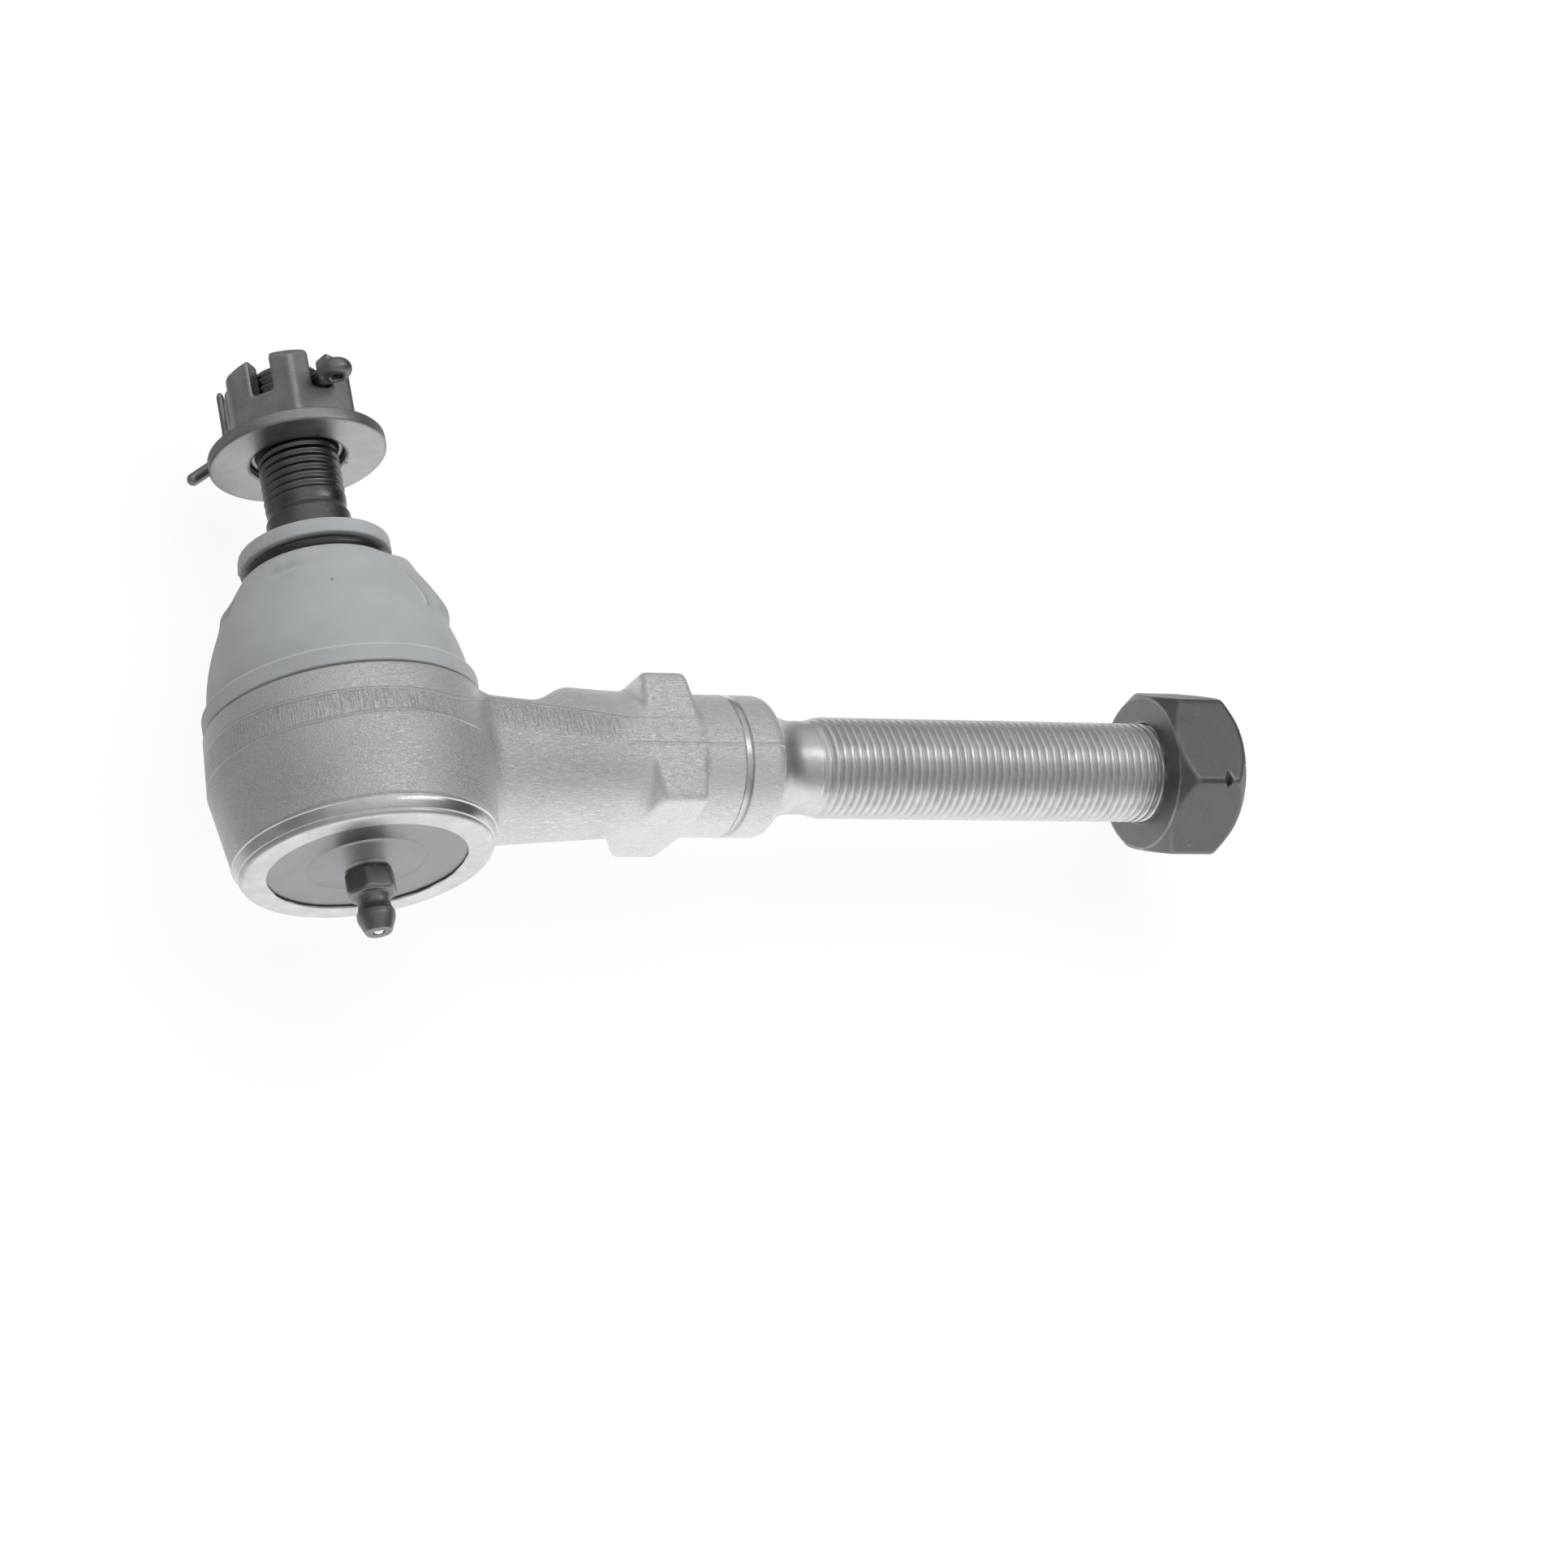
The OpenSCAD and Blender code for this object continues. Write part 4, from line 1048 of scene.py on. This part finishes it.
def make_stud():
    """The ball stud with its taper and rolled thread."""
    settings = bpy.context.scene.tie_rod
    pitch = settings.forging.pitch
    ball_r = HIGH["ball_stud"].x
    end = HIGH["ball_stud"].y
    neck_r, neck_low, neck_top = 6.3 * MM, 12.6 * MM, 21 * MM
    taper_top = 45 * MM
    thread_y = 48 * MM
    crest_r = 7.04 * MM
    root_r = crest_r - 0.22 * pitch
    plain_r = root_r + 0.3 * MM
    flat_h = 0.9 * MM
    flat = math.degrees(math.asin((ball_r - flat_h) / ball_r))
    profile = [(0.3 * MM, -ball_r + flat_h)]
    profile += arc((0, 0), ball_r, -flat, math.degrees(math.acos(neck_r / ball_r)) - 2, 40)
    profile += [(neck_r, neck_low), (neck_r, neck_top)]
    profile += [(neck_r + 2.15 * MM * float(ease(t)), 21.4 * MM + 5 * MM * t) for t in np.linspace(0, 1, 9)]
    profile += [(7.3 * MM, taper_top)] + arc((6.95 * MM, 45.1 * MM), 0.35 * MM, 10, 75, 4)
    profile += [(6.82 * MM + 0.2 * MM * t * t, 46.5 * MM + 0.9 * MM * t) for t in np.linspace(-1, 0.6, 7)]
    profile += thread_rows(thread_y, end - 1.1 * MM, plain_r, pitch)
    profile += [(6.6 * MM, end - MM), (5.9 * MM, end), (1.4 * MM, end), (0.3 * MM, end - 0.9 * MM)]
    radii = plain_r, crest_r, root_r
    wind = thread_shape(thread_y, end - MM, *radii, pitch, run_in=MM, run_out=0.6 * MM, flank_w=0.94)
    finish = coated_steel("stud_steel", settings.colours.stud, roughness=0.22, edge_wear_and_light=1.5)
    shape = turned(profile, 96, "Y", wind)
    add_piece("ball_stud_turned", shape, finish, "stud", "ball_stud", sharp=50)


def castle_field(points):
    """Distance to the castle nut, with its slots, chamfers, bore and the skirt that holds the washer."""
    size = bpy.context.scene.tie_rod.nuts
    x, y, z = points.T
    radius = np.hypot(x, z)
    low, top = HIGH["captive_washer"].y + 0.3 * MM, HIGH["castle_nut"].y
    half = size.castle_w / 2
    corner = half / math.cos(math.pi / 6)
    hexagon = hexagon_field(x, -z, half, size.turn + math.pi / 6, 0.4 * MM)
    body = soft_max(hexagon, outline_field(radius, y, [
        (0, low), (half - 0.2 * MM, low), (corner, low + 1.3 * MM), (corner, top - 1.9 * MM),
        (half - 0.5 * MM, top), (0, top),
    ]), 0.5 * MM)
    for k in range(3):
        turn = size.turn + math.pi / 6 + k * math.pi / 3
        aside = np.abs(x * math.sin(turn) + z * math.cos(turn)) - size.slot_w / 2
        slot = soft_max(aside, top - size.slot_h - y, 0.8 * MM)
        body = soft_max(body, -slot, 0.6 * MM)
    skirt_low = LOW["castle_nut"].y + MM
    skirt_r, bore_r = 8.05 * MM, 7.06 * MM
    skirt = outline_field(radius, y, [
        (0, skirt_low), (skirt_r, skirt_low), (skirt_r, low + MM), (0, low + MM),
    ])
    bore = outline_field(radius, y, [
        (0, skirt_low - MM), (7.8 * MM, skirt_low - MM), (bore_r, skirt_low + 0.4 * MM),
        (bore_r, top - 0.5 * MM), (8.0 * MM, top + 0.5 * MM), (0, top + 0.5 * MM),
    ])
    return soft_max(soft_min(body, skirt, 0.3 * MM), -bore, 0.1 * MM)


def make_castle_nut():
    """The castle nut."""
    settings = bpy.context.scene.tie_rod
    step = 0.24 * MM
    across = grid_lines(-13 * MM, 13 * MM, step)
    upward = grid_lines(LOW["castle_nut"].y - MM, HIGH["castle_nut"].y + MM, step)
    finish = coated_steel("nut_phosphate", settings.colours.castle, roughness=0.32, edge_wear_and_light=1.15)
    shape = solid_from_field(castle_field, across, upward, across)
    add_piece("castle_nut_forged", shape, finish, "stud", "castle_nut")


def make_washer():
    """The wide washer that the castle nut's skirt holds."""
    settings = bpy.context.scene.tie_rod
    low, high = LOW["captive_washer"], HIGH["captive_washer"]
    edge = 0.4 * MM
    gap_r = 8.25 * MM
    profile = [(r, low.y) for r in np.linspace(gap_r + 0.15 * MM, high.x - 1.2 * MM, 12)]
    profile += arc((high.x - edge, low.y + edge), edge, -90, 0, 6)
    profile += arc((high.x - edge, high.y - edge), edge, 0, 90, 6)
    profile += arc((gap_r + 0.3 * MM, high.y - 0.3 * MM), 0.3 * MM, 90, 180, 3)
    profile += [(gap_r, low.y + 1.1 * MM), (gap_r, low.y + 0.15 * MM)]
    # The washer's edges are painted darker: painted shade on its rim.
    finish = coated_steel("washer_phosphate", settings.colours.washer, roughness=0.36, edge_wear_and_light=0.25)
    shape = turned(profile, 144, ring=True)
    add_piece("captive_washer_pressed", shape, finish, "washer", "captive_washer",
              sharp=50)


def cotter_field(points):
    """Distance to the cotter pin of half-round wire: eye, shank and two bent legs."""
    size = bpy.context.scene.tie_rod.nuts
    x, y, z = points.T
    turn = size.turn
    side = x * math.cos(turn) - z * math.sin(turn)
    ahead = -x * math.sin(turn) - z * math.cos(turn)
    height = y - HIGH["castle_nut"].y + size.cotter_drop
    local = np.stack([side, ahead, height], 1)
    pin_r = size.cotter_r
    leg_r = pin_r * 0.7
    half = size.castle_w / 2
    eye_r = 1.2 * MM
    eye = (0.8 * MM, -half - 0.4 * MM - eye_r - pin_r)
    out = half + leg_r + 0.6 * MM
    around = np.hypot(side - eye[0], ahead - eye[1])
    wire = soft_max(np.hypot(around - 1.25 * MM, height) - pin_r, eye_r - around, 0.3 * MM)
    pin = bar_field(local, (0, eye[1] + 2 * MM, 0), (0, out - 0.4 * MM, 0), pin_r - 0.03 * MM)
    split = np.maximum(np.abs(height + 0.04 * side) - 0.09 * MM, -half - ahead)
    body = soft_min(wire, soft_max(pin, -split, 0.15 * MM), 1.2 * MM)
    low = HIGH["captive_washer"].y + leg_r + 0.6 * MM - HIGH["castle_nut"].y + size.cotter_drop
    flared_out = HIGH["captive_washer"].x + 2.5 * MM
    legs = (
        ((0, out, 0.3 * MM), (-3.2 * MM, out + 2.6 * MM, 0.6 * MM), (-3.2 * MM, out + 2.6 * MM, 8.4 * MM)),
        ((0, out, -0.3 * MM), (-2.6 * MM, out + 3.4 * MM, -2.2 * MM), (-9.4 * MM, flared_out, low)),
    )
    flat_way = np.array((0.74, -0.67, 0))
    squeeze = np.eye(3) + 0.7 * np.outer(flat_way, flat_way)
    for (start, knee, end), squash in zip(legs, (squeeze, np.eye(3))):
        ends = [squash @ np.array(place) for place in (start, knee, end)]
        near = local @ squash
        bars = [bar_field(near, ends[k], ends[k + 1], leg_r) for k in range(2)]
        body = soft_min(body, soft_min(*bars, 0.8 * MM), 0.5 * MM)
    return body


def make_cotter():
    """The cotter pin through the nut's slots."""
    settings = bpy.context.scene.tie_rod
    shape = solid_from_field(cotter_field, *box_lines("cotter_pin", 0.22 * MM))
    finish = coated_steel("pin_steel", settings.colours.fitting, roughness=0.36, edge_wear_and_light=2.0)
    add_piece("cotter_pin_wire", shape, finish, "stud", "cotter_pin")


def jam_field(points):
    """Distance to the jam nut, with chamfered faces, a countersunk bore and one nick."""
    size = bpy.context.scene.tie_rod.nuts
    x, y, z = points.T
    radius = np.hypot(y, z)
    low, high = LOW["jam_nut"].x, HIGH["jam_nut"].x
    half = size.jam_w / 2
    corner = half / math.cos(math.pi / 6)
    outer_r = corner + 0.05 * MM
    bore_r = 8.92 * MM
    hexagon = hexagon_field(z, y, half, 0, 0.7 * MM)
    body = soft_max(hexagon, outline_field(radius, x, [
        (0, low), (half - 0.25 * MM, low), (outer_r, low + 2.9 * MM),
        (outer_r, high - 3 * MM), (half - 0.6 * MM, high), (0, high),
    ]), 0.4 * MM)
    bore = outline_field(radius, x, [
        (0, low - MM), (9.3 * MM, low - MM), (bore_r, low + 0.15 * MM), (bore_r, high - 0.7 * MM),
        (10.4 * MM, high + MM), (0, high + MM),
    ])
    body = soft_max(body, -bore, 0.15 * MM)
    edge_y, edge_z = corner * math.cos(math.pi / 3), corner * math.sin(math.pi / 3)
    away = np.abs(x - high + 5.0 * MM) * 0.9 + np.abs(y + edge_y) * 0.45 + np.abs(z - edge_z) * 0.5
    return soft_max(body, 0.95 * MM - away, 0.15 * MM)


def make_jam_nut():
    """The jam nut on the shank's thread."""
    settings = bpy.context.scene.tie_rod
    shape = solid_from_field(jam_field, *box_lines("jam_nut", 0.28 * MM))
    finish = coated_steel("jam_phosphate", settings.colours.jam, roughness=0.4, edge_wear_and_light=2.4)
    add_piece("jam_nut_forged", shape, finish, "jam_nut", "jam_nut")


def make_check_spring():
    """The coil behind the check ball, which in the real fitting shortens as the ball is pushed in."""
    low, high = LOW["grease_check_spring"], HIGH["grease_check_spring"]
    wire_r = 0.15 * MM
    coils = 6
    sweep = np.linspace(0, coils * 2 * math.pi, 24 * coils + 1)[:, None]
    turn = np.linspace(0, 2 * math.pi, 10, endpoint=False)
    radius = high[0] - wire_r + wire_r * np.cos(turn)
    along = low[1] + wire_r + (high[1] - low[1] - 2 * wire_r) * sweep / sweep[-1] + wire_r * np.sin(turn)
    points = np.stack([radius * np.cos(sweep), along, radius * np.sin(sweep)], -1)
    shape = points.reshape(-1, 3), skin(along.shape)
    colours = bpy.context.scene.tie_rod.colours
    finish = coated_steel("check_spring_steel", colours.spring, roughness=0.35, edge_wear_and_light=1.3)
    coil = loose_piece("check_spring_wire", shape, finish, "grease_check_spring")
    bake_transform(coil)


def finish_inside():
    """Finishes of the pieces that keep their frame shapes: bearings, spring, base ring and check ball."""
    colours = bpy.context.scene.tie_rod.colours
    polymer = bearing_polymer(colours.polymer)
    spring = coated_steel("spring_steel", colours.spring, roughness=0.35, edge_wear_and_light=1.3)
    finishes = {
        "upper_bearing": polymer, "bearing_liner": polymer, "lower_seat": polymer,
        "preload_spring": spring, "boot_base_ring": spring,
        "grease_check_ball": polished_steel(colours.bright),
    }
    for name, material in finishes.items():
        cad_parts[name].data.materials.clear()
        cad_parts[name].data.materials.append(material)


# Stage


LAMP_AIM = Vector((0.06, 0.02, 0))
LAMP_AWAY = 0.9


def make_camera(settings):
    """The camera at the photograph's viewing angle."""
    camera = new_object("camera", bpy.data.cameras.new("camera"))
    camera.location = settings.camera_place
    camera.rotation_euler = settings.camera_turn
    camera.data.sensor_width = 36
    camera.data.lens = settings.lens
    camera.data.clip_start = 0.01
    bpy.context.scene.camera = camera


def white_for_rays(tree):
    """1 for the rays that should see a plain white ground."""
    path = node(tree, "LightPath").outputs
    seen = maths(tree, "MAXIMUM", path["Is Camera Ray"], path["Is Glossy Ray"])
    return maths(tree, "MAXIMUM", seen, path["Is Transmission Ray"])


def make_floor(settings):
    """A plain pale floor, white to the camera and dimmer in mirrors behind, which keeps a faint shadow."""
    half = 6.0
    ground = LOW["housing"].z - 0.3 * MM
    white, dim = 1.09, 0.2
    white_share = 0.85
    corners = [(-half, -half, ground), (half, -half, ground), (half, half, ground), (-half, half, ground)]
    floor = new_object("floor", new_mesh("floor", corners, [(0, 1, 2, 3)]))
    material, tree, matte, place = finish_material("floor", metallic=0, roughness=0.9)
    matte.inputs["Base Color"].default_value = (*settings.floor, 1)
    matte.inputs["Specular IOR Level"].default_value = 0
    aside = dot(tree, place, (1, -0.3, 0))
    behind = node(tree, "SeparateXYZ", {0: place}).outputs[1]
    seen = node(tree, "LightPath").outputs["Is Camera Ray"]
    table = maths(tree, "MULTIPLY", span(tree, aside, -0.045, -0.008), span(tree, behind, 0.094, 0.039))
    table = span(tree, table, 0.0, 1.0, dim, white)
    level = node(tree, "Mix", {0: seen, 2: table, 3: white}).outputs[0]
    glow = node(tree, "Emission", {"Color": (0.975, 0.98, 1, 1), "Strength": level}).outputs[0]
    share = maths(tree, "MULTIPLY", white_for_rays(tree), white_share)
    mix = node(tree, "MixShader", {0: share, 1: matte.outputs[0], 2: glow})
    tree.links.new(mix.outputs[0], tree.nodes["Material Output"].inputs[0])
    floor.data.materials.append(material)


def make_tent(settings):
    """A white light tent, dimmer at its walls and ends than overhead, with a bright front."""
    world = bpy.data.worlds.new("tent")
    bpy.context.scene.world = world
    world.use_nodes = True
    tree = world.node_tree
    way = node(tree, "TexCoord").outputs["Generated"]
    rise = dot(tree, way, Vector(settings.overhead).normalized())
    level = span(tree, rise, 0.35, 0.95, settings.wall, settings.roof)
    aside, _, up = node(tree, "SeparateXYZ", {0: way}).outputs
    for start, end, share in ((0.4, 0.9, settings.shank_end), (-0.6, -0.98, settings.socket_end)):
        level = maths(tree, "MULTIPLY", level, span(tree, aside, start, end, 1.0, share))
    front = dot(tree, way, Vector(settings.front).normalized())
    ahead = span(tree, front, 0.72, 0.93, 0.0, settings.card)
    card = maths(tree, "MULTIPLY", ahead, span(tree, up, 0.48, 0.08))
    level = maths(tree, "MAXIMUM", level, card)
    seen = node(tree, "LightPath").outputs["Is Camera Ray"]
    strength = node(tree, "Mix", {0: seen, 2: level, 3: 1.0}).outputs[0]
    background = tree.nodes["Background"]
    background.inputs["Color"].default_value = (1, 1, 1, 1)
    tree.links.new(strength, background.inputs["Strength"])


def make_lamp(name, way, size, power, mirrored):
    """A soft panel that shines on the part from some way, and that bright metal mirrors or doesn't."""
    lamp = new_object(name, bpy.data.lights.new(name, "AREA"))
    lamp.data.shape = "RECTANGLE"
    lamp.data.size, lamp.data.size_y = size
    lamp.data.energy = power
    way = Vector(way).normalized()
    lamp.location = LAMP_AIM + LAMP_AWAY * way
    lamp.rotation_euler = way.to_track_quat("Z", "Y").to_euler()
    lamp.visible_camera = False
    lamp.visible_glossy = mirrored


def make_stage():
    """Camera, light and floor."""
    settings = bpy.context.scene.tie_rod.stage
    bpy.context.scene.view_settings.view_transform = "Standard"
    make_camera(settings)
    make_tent(settings)
    make_floor(settings)
    make_lamp("roof_panel", settings.overhead, size=(0.6, 0.6), power=3.0, mirrored=False)
    make_lamp("roof_strip", (0.459, 0.13, 0.869), size=(0.12, 0.62), power=0.58, mirrored=True)


# Operators


class TIE_ROD_OT_forging(bpy.types.Operator):
    """Make the forged socket, neck and collar"""

    bl_idname = "tie_rod.forging"
    bl_label = "Forging"

    def execute(self, context):
        make_forging()
        return {"FINISHED"}


class TIE_ROD_OT_rim(bpy.types.Operator):
    """Make the rim that holds the cover plate"""

    bl_idname = "tie_rod.rim"
    bl_label = "Crimped rim"

    def execute(self, context):
        make_rim()
        return {"FINISHED"}


class TIE_ROD_OT_shank(bpy.types.Operator):
    """Make the turned shank, its thread and the collar's groove"""

    bl_idname = "tie_rod.shank"
    bl_label = "Shank"

    def execute(self, context):
        make_shank()
        make_groove()
        return {"FINISHED"}


class TIE_ROD_OT_cover(bpy.types.Operator):
    """Make the cover plate"""

    bl_idname = "tie_rod.cover"
    bl_label = "Cover plate"

    def execute(self, context):
        make_cover()
        return {"FINISHED"}


class TIE_ROD_OT_fitting(bpy.types.Operator):
    """Make the grease fitting"""

    bl_idname = "tie_rod.fitting"
    bl_label = "Grease fitting"

    def execute(self, context):
        make_fitting()
        return {"FINISHED"}


class TIE_ROD_OT_boot(bpy.types.Operator):
    """Make the dust boot and its ring"""

    bl_idname = "tie_rod.boot"
    bl_label = "Dust boot"

    def execute(self, context):
        make_boot()
        make_ring()
        return {"FINISHED"}


class TIE_ROD_OT_stud(bpy.types.Operator):
    """Make the ball stud"""

    bl_idname = "tie_rod.stud"
    bl_label = "Ball stud"

    def execute(self, context):
        make_stud()
        return {"FINISHED"}


class TIE_ROD_OT_castle_nut(bpy.types.Operator):
    """Make the castle nut, its washer and its cotter pin"""

    bl_idname = "tie_rod.castle_nut"
    bl_label = "Castle nut"

    def execute(self, context):
        make_castle_nut()
        make_washer()
        make_cotter()
        return {"FINISHED"}


class TIE_ROD_OT_jam_nut(bpy.types.Operator):
    """Make the jam nut"""

    bl_idname = "tie_rod.jam_nut"
    bl_label = "Jam nut"

    def execute(self, context):
        make_jam_nut()
        return {"FINISHED"}


class TIE_ROD_OT_inside(bpy.types.Operator):
    """Finish the inner pieces and make the check spring"""

    bl_idname = "tie_rod.inside"
    bl_label = "Inner pieces"

    def execute(self, context):
        finish_inside()
        make_check_spring()
        return {"FINISHED"}


class TIE_ROD_OT_stage(bpy.types.Operator):
    """Make the camera, the light and the floor"""

    bl_idname = "tie_rod.stage"
    bl_label = "Stage"

    def execute(self, context):
        make_stage()
        return {"FINISHED"}


OPERATORS = [
    TIE_ROD_OT_forging,
    TIE_ROD_OT_rim,
    TIE_ROD_OT_shank,
    TIE_ROD_OT_cover,
    TIE_ROD_OT_fitting,
    TIE_ROD_OT_boot,
    TIE_ROD_OT_stud,
    TIE_ROD_OT_castle_nut,
    TIE_ROD_OT_jam_nut,
    TIE_ROD_OT_inside,
    TIE_ROD_OT_stage,
]


class TIE_ROD_PT_sidebar(bpy.types.Panel):
    """Lists the tie rod end's operators and the settings that they read"""

    bl_idname = "TIE_ROD_PT_sidebar"
    bl_label = "Tie rod end"
    bl_space_type = "VIEW_3D"
    bl_region_type = "UI"
    bl_category = "Tie rod end"

    def draw(self, context):
        for made in OPERATORS:
            self.layout.operator(made.bl_idname)
        for title in TieRodSettings.__annotations__:
            group = getattr(context.scene.tie_rod, title)
            box = self.layout.box()
            box.label(text=title.capitalize())
            for name in type(group).__annotations__:
                box.prop(group, name)


GROUPS = [ForgingSizes, BootSizes, NutSizes, FinishColours, StageSettings, TieRodSettings]
CLASSES = GROUPS + OPERATORS + [TIE_ROD_PT_sidebar]


def register():
    """Make the settings, the operators and the panel known."""
    for made in CLASSES:
        bpy.utils.register_class(made)
    bpy.types.Scene.tie_rod = PointerProperty(type=TieRodSettings)


def unregister():
    """Take the settings, the operators and the panel away again."""
    del bpy.types.Scene.tie_rod
    for made in reversed(CLASSES):
        bpy.utils.unregister_class(made)


def main():
    """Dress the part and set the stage."""
    register()
    bpy.ops.tie_rod.forging()
    bpy.ops.tie_rod.rim()
    bpy.ops.tie_rod.shank()
    bpy.ops.tie_rod.cover()
    bpy.ops.tie_rod.fitting()
    bpy.ops.tie_rod.boot()
    bpy.ops.tie_rod.stud()
    bpy.ops.tie_rod.castle_nut()
    bpy.ops.tie_rod.jam_nut()
    bpy.ops.tie_rod.inside()
    bpy.ops.tie_rod.stage()


if __name__ == "__main__":
    main()
